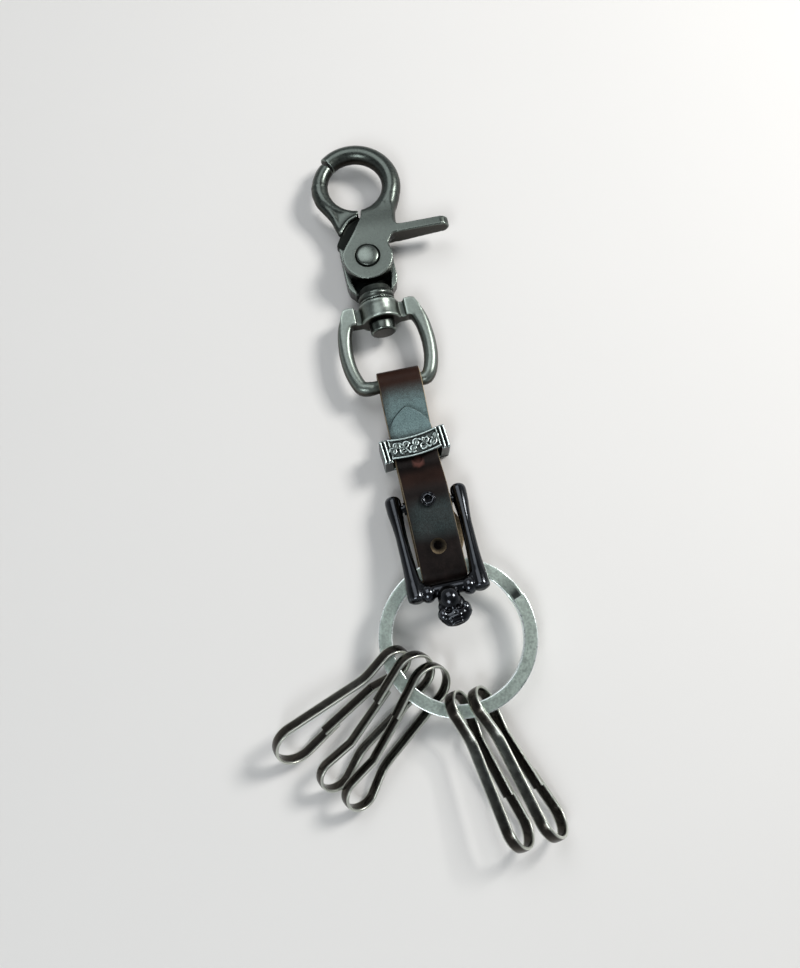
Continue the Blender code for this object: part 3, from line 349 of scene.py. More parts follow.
class FinishSettings(bpy.types.PropertyGroup):
    """Colours and finishes that a user would change"""

    gunmetal: FloatVectorProperty(
        name="Gunmetal",
        description="Colour of the hook and bail castings",
        subtype="COLOR",
        default=(0.105, 0.122, 0.111),
    )
    black_nickel: FloatVectorProperty(
        name="Black nickel",
        description="Colour of the shackle's polished plating",
        subtype="COLOR",
        default=(0.037, 0.040, 0.044),
    )
    antique_silver: FloatVectorProperty(
        name="Antique silver",
        description="Colour of the keeper where it is rubbed bright",
        subtype="COLOR",
        default=(0.62, 0.74, 0.72),
    )
    ring_nickel: FloatVectorProperty(
        name="Ring nickel",
        description="Colour of the split ring's flats",
        subtype="COLOR",
        default=(0.66, 0.78, 0.71),
    )
    spring_steel: FloatVectorProperty(
        name="Spring steel",
        description="Colour of the clips' faces",
        subtype="COLOR",
        default=(0.040, 0.036, 0.031),
    )
    leather: FloatVectorProperty(
        name="Leather",
        description="Colour of the strap's grain side",
        subtype="COLOR",
        default=(0.0060, 0.0040, 0.0036),
    )
    raw_edge: FloatVectorProperty(
        name="Raw edge",
        description="Colour of the cut edges of the leather",
        subtype="COLOR",
        default=(0.36, 0.28, 0.175),
    )


class ShapeSettings(bpy.types.PropertyGroup):
    """Sizes of the finishing work"""

    cast_pitch: FloatProperty(
        name="Casting mesh",
        description="Mesh size of the castings",
        default=0.19 * MM,
        unit="LENGTH",
        precision=5,
    )
    relief_pitch: FloatProperty(
        name="Relief mesh",
        description="Mesh size of the keeper and the skull",
        default=0.11 * MM,
        unit="LENGTH",
        precision=5,
    )
    grain_size: FloatProperty(
        name="Leather grain",
        description="Size of a pebble of the leather's grain",
        default=0.35 * MM,
        unit="LENGTH",
        precision=5,
    )


class StageSettings(bpy.types.PropertyGroup):
    """Floor and lamps"""

    floor_colour: FloatVectorProperty(
        name="Floor",
        description="Colour of the studio floor",
        subtype="COLOR",
        default=(0.76, 0.752, 0.74),
    )
    key_power: FloatProperty(
        name="Key lamp", description="Power of the lamp at the right", default=2.7, unit="POWER"
    )
    fill_power: FloatProperty(
        name="Fill lamp", description="Power of the lamp above", default=1.35, unit="POWER"
    )


# Finishes

class Socket:
    """A node's output in a material. Arithmetic on it adds Math nodes."""

    def __init__(self, tree, output):
        self.tree = tree
        self.output = output

    def math(self, operation, *values, clamp=False):
        settings = {"operation": operation, "use_clamp": clamp}
        return add_node(self.tree, "ShaderNodeMath", settings, dict(enumerate(values)))

    def __add__(self, other):
        return self.math("ADD", self, other)

    def __radd__(self, other):
        return self.math("ADD", other, self)

    def __sub__(self, other):
        return self.math("SUBTRACT", self, other)

    def __rsub__(self, other):
        return self.math("SUBTRACT", other, self)

    def __mul__(self, other):
        return self.math("MULTIPLY", self, other)

    def __rmul__(self, other):
        return self.math("MULTIPLY", other, self)

    def __truediv__(self, other):
        return self.math("DIVIDE", self, other)

    def __pow__(self, other):
        return self.math("POWER", self, other)

    def clamped(self):
        return self.math("ADD", self, 0.0, clamp=True)


def add_node(tree, kind, settings=None, values=None, output=0):
    """Adds a node, sets it up, then gives its sockets their values or links."""
    node = tree.nodes.new(kind)
    for name, value in (settings or {}).items():
        if name == "stops":
            set_stops(node.color_ramp, value)
        else:
            setattr(node, name, value)
    for key, value in (values or {}).items():
        if isinstance(value, Socket):
            tree.links.new(value.output, node.inputs[key])
        elif isinstance(value, (tuple, list)) and len(node.inputs[key].default_value) == 4:
            node.inputs[key].default_value = (*value[:3], 1)
        else:
            node.inputs[key].default_value = value
    return Socket(tree, node.outputs[output])


def set_stops(ramp, stops):
    while len(ramp.elements) < len(stops):
        ramp.elements.new(0.5)
    for element, (position, level) in zip(ramp.elements, stops):
        element.position = position
        element.color = (level, level, level, 1)


class Finish:
    """A material under construction, with the shader nodes that its finish needs."""

    def __init__(self, name):
        self.material = bpy.data.materials.new(name)
        self.material.use_nodes = True
        self.tree = self.material.node_tree
        self.shader = self.tree.nodes["Principled BSDF"]
        self.place = self.node("ShaderNodeTexCoord", output="Object")

    def node(self, kind, settings=None, values=None, output=0):
        return add_node(self.tree, kind, settings, values, output)

    def noise(self, size, detail=3.0, place=None, roughness=0.55):
        """Even noise whose blotches are about size across."""
        values = {"Vector": place or self.place, "Scale": 1 / size}
        values.update({"Detail": detail, "Roughness": roughness})
        return self.node("ShaderNodeTexNoise", {}, values, output="Fac")

    def cells(self, size, feature="F1"):
        settings = {"feature": feature}
        return self.node("ShaderNodeTexVoronoi", settings, {"Vector": self.place, "Scale": 1 / size})

    def step(self, value, low, high):
        """0 below low, 1 above high, smooth between."""
        settings = {"interpolation_type": "SMOOTHSTEP"}
        values = {"Value": value, "From Min": low, "From Max": high}
        return self.node("ShaderNodeMapRange", settings, values)

    def mark(self, name):
        """A value painted on the mesh."""
        return self.node("ShaderNodeAttribute", {"attribute_name": name}, output="Fac")

    def blend(self, share, first, second, mode="MIX"):
        settings = {"data_type": "RGBA", "blend_type": mode}
        values = {0: share, 6: first, 7: second}
        return self.node("ShaderNodeMix", settings, values, output=2)

    def coat(self, base, share, colour):
        """Lays a colour over the base where the share, cut to 0..1, is high."""
        return self.blend(share.clamped(), base, colour)

    def drawn_lines(self, size, stretch):
        """Fine lines that run along a wire."""
        values = {0: self.mark("along") * stretch, 1: self.mark("across"), 2: 0.0}
        place = self.node("ShaderNodeCombineXYZ", {}, values)
        return self.noise(size, detail=2.0, place=place)

    def stretched(self, scales):
        values = {0: self.place, 1: scales}
        return self.node("ShaderNodeVectorMath", {"operation": "MULTIPLY"}, values)

    def bump(self, height, strength, distance):
        values = {"Height": height, "Strength": strength, "Distance": distance}
        return self.node("ShaderNodeBump", {}, values)

    def feed(self, name, value):
        """Puts a link or a constant on one of the shader's own sockets."""
        if isinstance(value, Socket):
            self.tree.links.new(value.output, self.shader.inputs[name])
        else:
            self.shader.inputs[name].default_value = value

    def metal(self, base, roughness, normal):
        """Connects a bare metal's colour, roughness and relief, and gives its material."""
        self.feed("Base Color", base)
        self.feed("Metallic", 1.0)
        self.feed("Roughness", roughness)
        self.feed("Normal", normal)
        return self.material


def tinted(colour, factor):
    return tuple(channel * factor for channel in colour)


def cast_gunmetal(name, colour, dullness=0.0):
    """Satin casting: mottling, rubbed edges with painted highlight, brownish painted shade on steep
    sides, shade in hollows.
    """
    finish = Finish(name)
    mottle = finish.noise(CAST_MOTTLE, detail=5.0)
    speckle = finish.noise(CAST_SPECKLE, detail=2.0)
    wear = finish.mark("wear")
    hollow = finish.mark("hollow")
    tone = finish.step(mottle, 0.3, 0.7)
    brown = tuple(channel * share for channel, share in zip(colour, STEEP_SHADE_BROWN_SHARES))
    base = finish.blend(tone, tinted(colour, 0.90), tinted(colour, 1.12))
    # Painted shade and a brownish painted reflection on steep sides
    base = finish.coat(base, finish.mark("flank") * 0.92, brown)
    # Edges brightened, partly rubbed metal and partly painted highlight
    base = finish.coat(base, wear * (0.55 + 0.3 * mottle), tinted(colour, 3.4))
    # Painted shade in the hollows
    base = finish.coat(base, hollow * 0.95, tinted(colour, 0.12))
    roughness = 0.25 + dullness + 0.05 * tone + 0.25 * hollow - 0.05 * wear + 0.04 * speckle
    relief = 0.6 * finish.noise(CAST_GRAIN, detail=4.0) + 0.4 * speckle
    return finish.metal(base, roughness, finish.bump(relief, 0.07, CAST_RELIEF))


def polished_nickel(name, colour):
    """Black mirror plating, hairline scratches, slightly rubbed edges with painted highlight, painted
    shade in hollows and on steep sides.
    """
    finish = Finish(name)
    cloud = finish.noise(PLATING_CLOUD, detail=3.0)
    scratch = finish.noise(PLATING_SCRATCH, detail=2.0, place=finish.stretched((1.0, 0.12, 1.0)))
    hollow = finish.mark("hollow")
    base = finish.blend(cloud, tinted(colour, 0.8), tinted(colour, 1.3))
    # Painted shade on steep sides
    base = finish.coat(base, finish.mark("flank") * 0.7, tinted(colour, 0.35))
    # Edges brightened, partly rubbed metal and partly painted highlight
    base = finish.coat(base, finish.mark("wear") * 0.4, tinted(colour, 6.0))
    # Painted shade in the hollows
    base = finish.coat(base, hollow * 0.85, tinted(colour, 0.25))
    roughness = 0.15 + 0.06 * finish.step(scratch, 0.55, 0.75) + 0.12 * hollow
    return finish.metal(base, roughness, finish.bump(scratch, 0.03, PLATING_RELIEF))


def blackened_silver(name, colour):
    """Antiqued silver: black in the recesses, rubbed bright only on the crests, with painted shade on
    steep sides.
    """
    finish = Finish(name)
    speckle = finish.noise(SILVER_SPECKLE, detail=3.0)
    wear = finish.mark("wear")
    hollow = finish.mark("hollow")
    rubbed = 1.8 * wear + 0.04 + 0.3 * (speckle - 0.5)
    base = finish.coat(tinted(colour, 0.085), rubbed, tinted(colour, 1.5))
    # Painted shade on steep sides
    base = finish.coat(base, finish.mark("flank") * 0.8, tinted(colour, 0.05))
    base = finish.coat(base, hollow * 1.1, tinted(colour, 0.02))
    roughness = 0.26 + 0.16 * speckle + 0.25 * hollow - 0.08 * wear
    return finish.metal(base, roughness, finish.bump(speckle, 0.10, SILVER_RELIEF))


def brushed_ring_nickel(name, colour):
    """Flat wire: light satin nickel, clouded, painted shade where it dives below itself, painted
    highlight on corners and cut end.
    """
    finish = Finish(name)
    blotch = finish.noise(WIRE_BLOTCH, detail=5.0)
    cloud = finish.noise(WIRE_CLOUD, detail=2.0)
    lines = finish.drawn_lines(WIRE_LINE, 0.1)
    corner = finish.mark("corner")
    tone = finish.step(blotch, 0.3, 0.7)
    base = finish.blend(tone, tinted(colour, 0.74), tinted(colour, 1.06))
    base = finish.blend(0.45 * cloud, base, tinted(colour, 0.55))
    base = finish.blend(0.16 * lines, base, tinted(colour, 0.5))
    base = finish.coat(base, finish.mark("shade") * 0.95, tinted(colour, 0.05))
    # Painted highlight on the corners and on the cut end
    base = finish.coat(base, corner * 0.85, tinted(colour, 1.5))
    roughness = 0.30 + 0.08 * tone + 0.08 * lines - 0.08 * corner
    return finish.metal(base, roughness, finish.bump(lines + 0.4 * blotch, 0.05, WIRE_RELIEF))


def bent_spring_steel(name, colour):
    """Clip strip: dark satin faces, painted highlights on the bends and thin edges, and a painted
    sheen below the waist.
    """
    finish = Finish(name)
    blotch = finish.noise(STEEL_BLOTCH, detail=2.0)
    lines = finish.drawn_lines(STEEL_LINE, 0.015)
    corner = finish.mark("corner")
    tone = finish.step(blotch, 0.35, 0.7)
    base = finish.blend(tone, tinted(colour, 0.8), tinted(colour, 1.15))
    base = finish.blend(0.2 * lines, base, tinted(colour, 0.6))
    # Painted highlight on the bends
    base = finish.coat(base, finish.mark("bent") * 0.5, tinted(colour, 2.6))
    # Painted sheen below the waist, standing for reflected light
    scuff = finish.mark("scuff") * (0.30 + 0.25 * tone + 0.25 * finish.step(lines, 0.35, 0.7))
    base = finish.coat(base, scuff, STEEL_SHEEN_COLOUR)
    # Painted highlight along the strip's edges
    base = finish.coat(base, corner * corner * corner, STEEL_EDGE_HIGHLIGHT_COLOUR)
    roughness = 0.20 + 0.05 * tone + 0.03 * lines + 0.10 * corner
    return finish.metal(base, roughness, finish.bump(lines * (1 - corner), 0.015, STEEL_RELIEF))


def oiled_leather(name, colour, raw_colour, grain_size):
    """Near black pull-up leather: grain, creases, a painted sheen, painted shade and highlight, tan
    fibres on the cut edges.
    """
    finish = Finish(name)
    pebbles = finish.cells(grain_size)
    pores = finish.noise(grain_size * 0.45, detail=3.0)
    cloud = finish.noise(LEATHER_CLOUD, detail=4.0)
    crease_place = finish.stretched((1.0, 0.35, 1.0))
    creases = finish.noise(LEATHER_CREASE, detail=5.0, place=crease_place, roughness=0.7)
    fibres = finish.noise(LEATHER_FIBRE, detail=5.0, place=finish.stretched((1.0, 0.4, 1.6)))
    raw = finish.mark("raw")
    bloom = finish.mark("bloom")
    tone = finish.step(cloud, 0.3, 0.72)
    base = finish.blend(tone, tinted(colour, 0.55), tinted(colour, 1.5))
    base = finish.blend(0.30 * finish.step(creases, 0.52, 0.7), base, tinted(colour, 3.5))
    # Warmer brown before the fold, and a painted brown sheen below the keeper
    base = finish.coat(base, finish.mark("warm") * (0.4 + cloud), LEATHER_WARM_AND_SHEEN_COLOUR)
    sheen = 0.08 + 0.62 * finish.noise(LEATHER_SHEEN_CLOUD, detail=5.0) + 1.1 * finish.step(pores, 0.3, 0.75)
    # Painted sheen: a light blue-grey reflection laid over the grain
    base = finish.coat(base, bloom * sheen, LEATHER_SHEEN_COLOUR)
    base = finish.coat(base, finish.mark("worn") * 0.8, LEATHER_RUBBED_COLOUR)
    fibre_tone = finish.step(fibres, 0.3, 0.7)
    raw_tone = finish.blend(fibre_tone, tinted(raw_colour, 0.35), tinted(raw_colour, 1.2))
    base = finish.coat(base, raw * (0.55 + 0.9 * finish.noise(LEATHER_STAIN)), raw_tone)
    # Painted highlight on the right cut edges above the keeper
    base = finish.coat(base, raw * finish.mark("pale") * 0.8, tinted(raw_colour, 1.7))
    # Painted shade in the middle of the buckle hole and along the pointed tip's edge
    base = finish.blend(finish.mark("deep"), base, tinted(colour, 0.25))
    finish.feed("Base Color", base)
    finish.feed("Roughness", 0.33 + 0.10 * pores + 0.08 * tone + 0.4 * raw - 0.06 * bloom)
    height = 0.75 * pebbles + 0.45 * pores + 0.7 * creases + 0.6 * raw * fibres
    finish.feed("Normal", finish.bump(height, 0.38, LEATHER_RELIEF))
    finish.feed("Specular IOR Level", 0.12)
    return finish.material


def studio_floor_finish(colour):
    finish = Finish("studio_floor")
    mottle = finish.noise(FLOOR_CLOUD, detail=2.0)
    finish.feed("Base Color", finish.blend(mottle, tinted(colour, 0.985), tinted(colour, 1.0)))
    finish.feed("Roughness", 0.75)
    return finish.material


# Pieces, meshes and marks

def settings():
    scene = bpy.context.scene
    return scene.key_ring_finish, scene.key_ring_shape, scene.key_ring_stage


def new_piece(name, mesh):
    """Adds a mesh to the scene as a piece of the key ring."""
    piece = bpy.data.objects.new(name, mesh)
    bpy.context.scene.collection.objects.link(piece)
    return piece


def add_piece(name, mesh, material, body, node):
    """Adds a mesh with its finish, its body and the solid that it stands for."""
    piece = new_piece(name, mesh)
    refinish(piece, material)
    mesh.shade_smooth()
    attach(piece, body)
    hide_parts(node)


def refinish(piece, material):
    piece.data.materials.clear()
    piece.data.materials.append(material)


def mesh_of(bm, name):
    """A bmesh as a new mesh. The bmesh is used up."""
    mesh = bpy.data.meshes.new(name)
    bm.to_mesh(mesh)
    bm.free()
    return mesh


def skin(bm, rings, closed=False):
    """Joins each ring of vertices to the next, and caps both ends unless the row is closed."""
    for ring, following in zip(rings, rings[1:] + rings[:1] if closed else rings[1:]):
        for k in range(len(ring)):
            after = (k + 1) % len(ring)
            bm.faces.new((ring[k], ring[after], following[after], following[k]))
    if not closed:
        bm.faces.new(rings[0][::-1])
        bm.faces.new(rings[-1])


def heading(points, i):
    """The way in which a line of points runs at one of them."""
    return (points[min(i + 1, len(points) - 1)] - points[max(i - 1, 0)]).normalized()


def spaced(start, end, count):
    return [start + (end - start) * i / (count - 1) for i in range(count)]


def flowing(points, per_span, closed=False):
    """A smooth line through points, flat or in space."""
    points = [Vector(point) for point in points]
    count = len(points)
    spans = count if closed else count - 1
    line = []
    for i in range(spans):
        if closed:
            before, start, end, after = (points[(i + k) % count] for k in (-1, 0, 1, 2))
        else:
            before, start, end, after = (points[min(max(i + k, 0), count - 1)] for k in (-1, 0, 1, 2))
        for j in range(per_span):
            t = j / per_span
            line.append(
                0.5
                * (
                    2 * start
                    + (end - before) * t
                    + (2 * before - 5 * start + 4 * end - after) * t**2
                    + (3 * start - before - 3 * end + after) * t**3
                )
            )
    if not closed:
        line.append(points[-1])
    return line


def bar_along(bm, points, radii, sides=28):
    """A round bar through points, added to a bmesh, with a flat cap at both ends."""
    points = [Vector(point) for point in points]
    angles = [FULL_TURN * k / sides for k in range(sides)]
    rings = []
    side_way = heading(points, 0).orthogonal()
    for i, (point, radius) in enumerate(zip(points, radii)):
        ahead = heading(points, i)
        side_way = (side_way - ahead * side_way.dot(ahead)).normalized()
        other_way = ahead.cross(side_way)
        spokes = [side_way * math.cos(a) + other_way * math.sin(a) for a in angles]
        rings.append([bm.verts.new(point + spoke * radius) for spoke in spokes])
    skin(bm, rings)


def ball_at(bm, centre, radii, turn, segments=40):
    """An ellipsoid, added to a bmesh."""
    place = Matrix.Translation(centre) @ turn @ Matrix.Diagonal((*radii, 1))
    rows = segments // 2
    bmesh.ops.create_uvsphere(bm, u_segments=segments, v_segments=rows, radius=1, matrix=place)


def block_at(bm, low, high):
    low, high = Vector(low), Vector(high)
    matrix = Matrix.Translation((low + high) / 2) @ Matrix.Diagonal((*(high - low), 1))
    bmesh.ops.create_cube(bm, size=1, matrix=matrix)


def plate_at(bm, outline, low_z, high_z):
    """A flat outline with a thickness, added to a bmesh."""
    low = [bm.verts.new((point[0], point[1], low_z)) for point in outline]
    high = [bm.verts.new((point[0], point[1], high_z)) for point in outline]
    for i in range(len(outline)):
        j = (i + 1) % len(outline)
        bm.faces.new((low[i], low[j], high[j], high[i]))
    caps = [bm.faces.new(low[::-1]), bm.faces.new(high)]
    bmesh.ops.triangulate(bm, faces=caps)


def turned_rings(bm, profile, matrix, sides):
    """A ring of vertices about Z for each (radius, height) point, or one on the axis."""
    rings = []
    for radius, height in profile:
        count = sides if radius else 1
        angles = [FULL_TURN * k / count for k in range(count)]
        places = [Vector((radius * math.cos(a), radius * math.sin(a), height)) for a in angles]
        rings.append([bm.verts.new(matrix @ place) for place in places])
    return rings


def lathe(bm, profile, matrix, sides=TURNED_SIDES):
    """A profile of (radius, height) points turned about Z and placed. Its ends are on the axis."""
    rings = turned_rings(bm, profile, matrix, sides)
    for ring, following in zip(rings, rings[1:]):
        for k in range(sides):
            corners = [ring[k % len(ring)], ring[(k + 1) % len(ring)]]
            corners += [following[(k + 1) % len(following)], following[k % len(following)]]
            corners = list(dict.fromkeys(corners))
            if len(corners) > 2:
                bm.faces.new(corners)
    bmesh.ops.recalc_face_normals(bm, faces=bm.faces)


def rounded_profile(corners, radius, steps=4):
    """A turned profile whose inner corners are rounded."""
    line = [Vector(corners[0])]
    for before, corner, after in zip(corners, corners[1:], corners[2:]):
        corner = Vector(corner)
        to_before = Vector(before) - corner
        to_after = Vector(after) - corner
        reach = min(radius, to_before.length * 0.45, to_after.length * 0.45)
        start = corner + to_before.normalized() * reach
        end = corner + to_after.normalized() * reach
        for i in range(steps + 1):
            t = i / steps
            line.append(start * (1 - t) ** 2 + corner * 2 * t * (1 - t) + end * t**2)
    line.append(Vector(corners[-1]))
    return [(point.x, point.y) for point in line]


def finished(obj, name):
    """The object's mesh with its modifiers applied."""
    graph = bpy.context.evaluated_depsgraph_get()
    mesh = bpy.data.meshes.new_from_object(obj.evaluated_get(graph))
    mesh.name = name
    old = obj.data
    bpy.data.objects.remove(obj)
    bpy.data.meshes.remove(old)
    return mesh


def cast(name, bm, pitch, passes):
    """Melts closed meshes that overlap into one casting and softens its edges."""
    pattern = new_piece(name + "_pattern", mesh_of(bm, name + "_pattern"))
    melt = pattern.modifiers.new("melt", "REMESH")
    melt.mode = "VOXEL"
    melt.voxel_size = pitch
    soften = pattern.modifiers.new("soften", "SMOOTH")
    soften.factor = 0.5
    soften.iterations = passes
    bpy.context.view_layer.update()
    return finished(pattern, name)


def arrays_of(mesh):
    """A mesh's points, their normals and its edges."""
    count = len(mesh.vertices)
    points = np.empty(count * 3)
    mesh.vertices.foreach_get("co", points)
    ways = np.empty(count * 3)
    mesh.vertex_normals.foreach_get("vector", ways)
    edges = np.empty(len(mesh.edges) * 2, np.int64)
    mesh.edges.foreach_get("vertices", edges)
    return points.reshape(-1, 3), ways.reshape(-1, 3), edges.reshape(-1, 2)


def reshape(mesh, points):
    mesh.vertices.foreach_set("co", points.ravel())
    mesh.update()


def neighbour_mean(values, edges, count):
    """Each vertex's mean of the values at its neighbours."""
    first, second = edges.T
    ends = np.concatenate((first, second))
    others = np.concatenate((second, first))
    number = np.maximum(np.bincount(ends, minlength=count), 1)
    if values.ndim == 1:
        return np.bincount(ends, values[others], count) / number
    return np.stack([np.bincount(ends, values[others, k], count) / number for k in range(3)], axis=1)


def paint(mesh, name, values):
    """Writes a value for each vertex, which the materials read by its name."""
    mark = mesh.attributes.get(name) or mesh.attributes.new(name, "FLOAT", "POINT")
    mark.data.foreach_set("value", np.asarray(values, np.float32))


def painted(mesh, name):
    values = np.empty(len(mesh.vertices), np.float32)
    mesh.attributes[name].data.foreach_get("value", values)
    return values


def paint_shade(mesh, dark):
    """Adds painted shade to the hollows that are painted on a mesh."""
    paint(mesh, "hollow", np.maximum(painted(mesh, "hollow"), dark))


def smooth_step(values, low, high):
    share = np.clip((values - low) / (high - low), 0, 1)
    return share * share * (3 - 2 * share)


def paint_wear_and_light(
    mesh, edge_curve=(900.0, 2600.0), hollow_curve=(400.0, 1500.0), spread=8, level=0.86
):
    """Paints sharp outer edges as rubbed and painted highlight, hollows as painted shade (patina on
    antiqued silver), and painted shade on steep sides.
    """
    points, ways, edges = arrays_of(mesh)
    count = len(points)
    lengths = np.linalg.norm(points[edges[:, 0]] - points[edges[:, 1]], axis=1)
    pitch = lengths.mean()
    curve = -((neighbour_mean(points, edges, count) - points) * ways).sum(axis=1) * 4 / pitch**2
    for _ in range(2):
        curve = (curve + neighbour_mean(curve, edges, count)) / 2
    wear = smooth_step(curve, *edge_curve)
    hollow = smooth_step(-curve, *hollow_curve)
    for _ in range(spread):
        hollow = np.maximum(hollow * 0.9, neighbour_mean(hollow, edges, count))
    for _ in range(4):
        hollow = (hollow + neighbour_mean(hollow, edges, count)) / 2
        wear = (wear + neighbour_mean(wear, edges, count)) / 2
    paint(mesh, "wear", wear)
    paint(mesh, "hollow", np.clip(hollow * (1 - wear), 0, 1))
    paint_steep_shade(mesh, level)


def paint_steep_shade(mesh, level=0.86):
    """Paints how steeply a surface stands, as painted shade on steep sides; level faces stay lighter.
    """
    _, ways, _ = arrays_of(mesh)
    paint(mesh, "flank", 1 - smooth_step(np.abs(ways[:, 2]), 0.25, level))


def dent(mesh, centre, radii, turn):
    """Pushes a mesh's surface out of an ellipsoid."""
    points, _, _ = arrays_of(mesh)
    centre = np.array(centre)
    turn = np.array(turn.to_3x3())
    local = (points - centre) @ turn / np.array(radii)
    far = np.linalg.norm(local, axis=1)
    inside = far < 1
    pushed = local[inside] / np.maximum(far[inside], 0.05)[:, None]
    points[inside] = (pushed * np.array(radii)) @ turn.T + centre
    reshape(mesh, points)


def moved(mesh, matrix):
    mesh.transform(matrix)
    mesh.update()
    return mesh


def section(breadth, thickness, corner, steps=3, crown=0.0):
    """A flat wire's section: points (along the breadth, along the thickness, painted highlight at
    corners).
    """
    half_breadth, half_thick = breadth / 2 - corner, thickness / 2 - corner
    points = []
    for quarter, (side_b, side_t) in enumerate(((1, 1), (-1, 1), (-1, -1), (1, -1))):
        for i in range(steps + 1):
            angle = math.pi / 2 * (quarter + i / steps)
            b = side_b * half_breadth + corner * math.cos(angle)
            t = side_t * half_thick + corner * math.sin(angle)
            points.append((b, t, 1.0))
        if quarter in (0, 2):
            for share in FACE_SHARES:
                b = side_t * half_breadth * (1 - 2 * share)
                t = side_t * (thickness / 2 + crown * (1 - (1 - 2 * share) ** 2))
                beside = share in (FACE_SHARES[0], FACE_SHARES[-1])
                points.append((b, t, HIGHLIGHT_BESIDE_CORNER if beside else 0.0))
    return points


def flat_wire(name, stations, outline, highlighted_start=False):
    """A strip swept through stations of (point, breadth way, thickness way), closed at both ends."""
    bm = bmesh.new()
    rings = []
    along = 0.0
    marks = {"along": [], "across": [], "corner": [], "bent": []}
    for i, (point, breadth_way, thick_way) in enumerate(stations):
        before, after = stations[max(i - 1, 0)], stations[min(i + 1, len(stations) - 1)]
        along += (point - before[0]).length
        turned = before[2].angle(after[2], 0) / max((after[0] - before[0]).length, TINY)
        first = highlighted_start and i == 0
        rings.append([bm.verts.new(point + breadth_way * b + thick_way * t) for b, t, _ in outline])
        # The corner mark is a painted highlight; a highlighted start puts it on the whole first ring
        for b, _, corner in outline:
            marks["along"].append(along)
            marks["across"].append(b)
            marks["corner"].append(1.0 if first else corner)
            # Painted highlight where the strip bends
            marks["bent"].append(min(turned * BEND_HIGHLIGHT_SCALE, 1.0))
    skin(bm, rings)
    bmesh.ops.recalc_face_normals(bm, faces=bm.faces)
    mesh = mesh_of(bm, name)
    for mark, values in marks.items():
        paint(mesh, mark, values)
    return mesh


# Strap

def eased(stations, y):
    """The height at y on a line that eases from station to station, each a (y, z) with y falling."""
    if y >= stations[0][0]:
        return stations[0][1]
    for (y_from, z_from), (y_to, z_to) in zip(stations, stations[1:]):
        if y >= y_to:
            share = (y_from - y) / (y_from - y_to)
            return z_from + (z_to - z_from) * (1 - math.cos(math.pi * share)) / 2
    return stations[-1][1]


def front_layer_z(y):
    stations = (
        (UPPER_FOLD_Y, UPPER_FOLD_Z + UPPER_FOLD_BEND),
        (KEEPER_Y + KEEPER_BREADTH / 2 + EASE_ABOVE_KEEPER, FRONT_KEEPER_Z),
        (KEEPER_Y - KEEPER_BREADTH / 2 - EASE_BELOW_KEEPER, FRONT_KEEPER_Z),
        (PIN_RADIUS, FRONT_STUD_Z),
    )
    return eased(stations, y)


def back_layer_z(y):
    stations = (
        (UPPER_FOLD_Y, UPPER_FOLD_Z - UPPER_FOLD_BEND),
        (KEEPER_Y + KEEPER_BREADTH / 2 + EASE_ABOVE_KEEPER, BACK_LOW_Z + HALF_LEATHER),
        (KEEPER_Y - KEEPER_BREADTH / 2, BACK_LOW_Z + HALF_LEATHER),
        (PIN_RADIUS, BACK_STUD_Z),
        (LOWER_FOLD_Y, RING_Z - LOWER_FOLD_BEND),
    )
    return eased(stations, y)


def top_layer_point(y):
    slope = math.atan2(front_layer_z(y + LAYER_GAP) - front_layer_z(y - LAYER_GAP), 2 * LAYER_GAP)
    lift = LEATHER + LAYER_GAP
    return y - lift * math.sin(slope), front_layer_z(y) + lift * math.cos(slope)


def bend(y, z, radius, start_degrees, end_degrees, count):
    angles = spaced(math.radians(start_degrees), math.radians(end_degrees), count + 2)[1:-1]
    return [(y + radius * math.cos(a), z + radius * math.sin(a)) for a in angles]


def lower_top_z(y):
    """Height of the top layer between the stud and the split ring."""
    return eased(((FRONT_END_Y, TOP_STUD_Z), (LOWER_FOLD_Y, RING_Z + LOWER_FOLD_BEND)), y)


def strap_line():
    """Middle line of the strap as (y, z), from its pointed tip to its hidden end below the stud."""
    line = [top_layer_point(y) for y in spaced(TIP_Y, 0, 70)]
    line += [(y, lower_top_z(y)) for y in spaced(FRONT_END_Y / 4, LOWER_FOLD_Y, 40)]
    line += bend(LOWER_FOLD_Y, RING_Z, LOWER_FOLD_BEND, 90, 270, 30)
    line += [(y, back_layer_z(y)) for y in spaced(LOWER_FOLD_Y, UPPER_FOLD_Y, 90)]
    line += bend(UPPER_FOLD_Y, UPPER_FOLD_Z, UPPER_FOLD_BEND, -90, 90, 26)
    line += [(y, front_layer_z(y)) for y in spaced(UPPER_FOLD_Y, FRONT_END_Y, 90)]
    return line


def buckle_surface_z():
    """Height of the leather's face round the hole below the stud."""
    return lower_top_z(-HOLE_PITCH - HOLE_RADIUS) + HALF_LEATHER


def back_layer_bulge(y, z):
    """How far the back layer stands out on the right, below the stud."""
    if z > RING_Z:
        return 0.0
    down = (BULGE_TOP_Y - y) / (BULGE_TOP_Y - LOWER_FOLD_Y - LOWER_FOLD_BEND)
    share = math.sin(math.pi * min(max(down, 0), 1))
    return BACK_BULGE * share * min((RING_Z - z) / LOWER_FOLD_BEND * BULGE_RISE, 1)


def pointed_half_width(from_tip):
    half = STRAP_WIDTH / 2
    if from_tip >= TIP_LENGTH:
        return half
    return half * (1 - (1 - from_tip / TIP_LENGTH) ** TIP_ROUNDNESS)


def strap_section(half_width):
    """The strap's section as (across, lift), with rounded corners. Its halves are alike."""
    edge = min(STRAP_EDGE, half_width * 0.45)
    inner = half_width - edge
    flat = HALF_LEATHER - edge
    half = [(inner * share, HALF_LEATHER) for share in spaced(-1, 1, 13)]
    for height, degrees in ((flat, (60, 30, 0)), (-flat, (0, -30, -60))):
        for angle in map(math.radians, degrees):
            half.append((inner + edge * math.cos(angle), height + edge * math.sin(angle)))
    return half + [(-across, -lift) for across, lift in half]


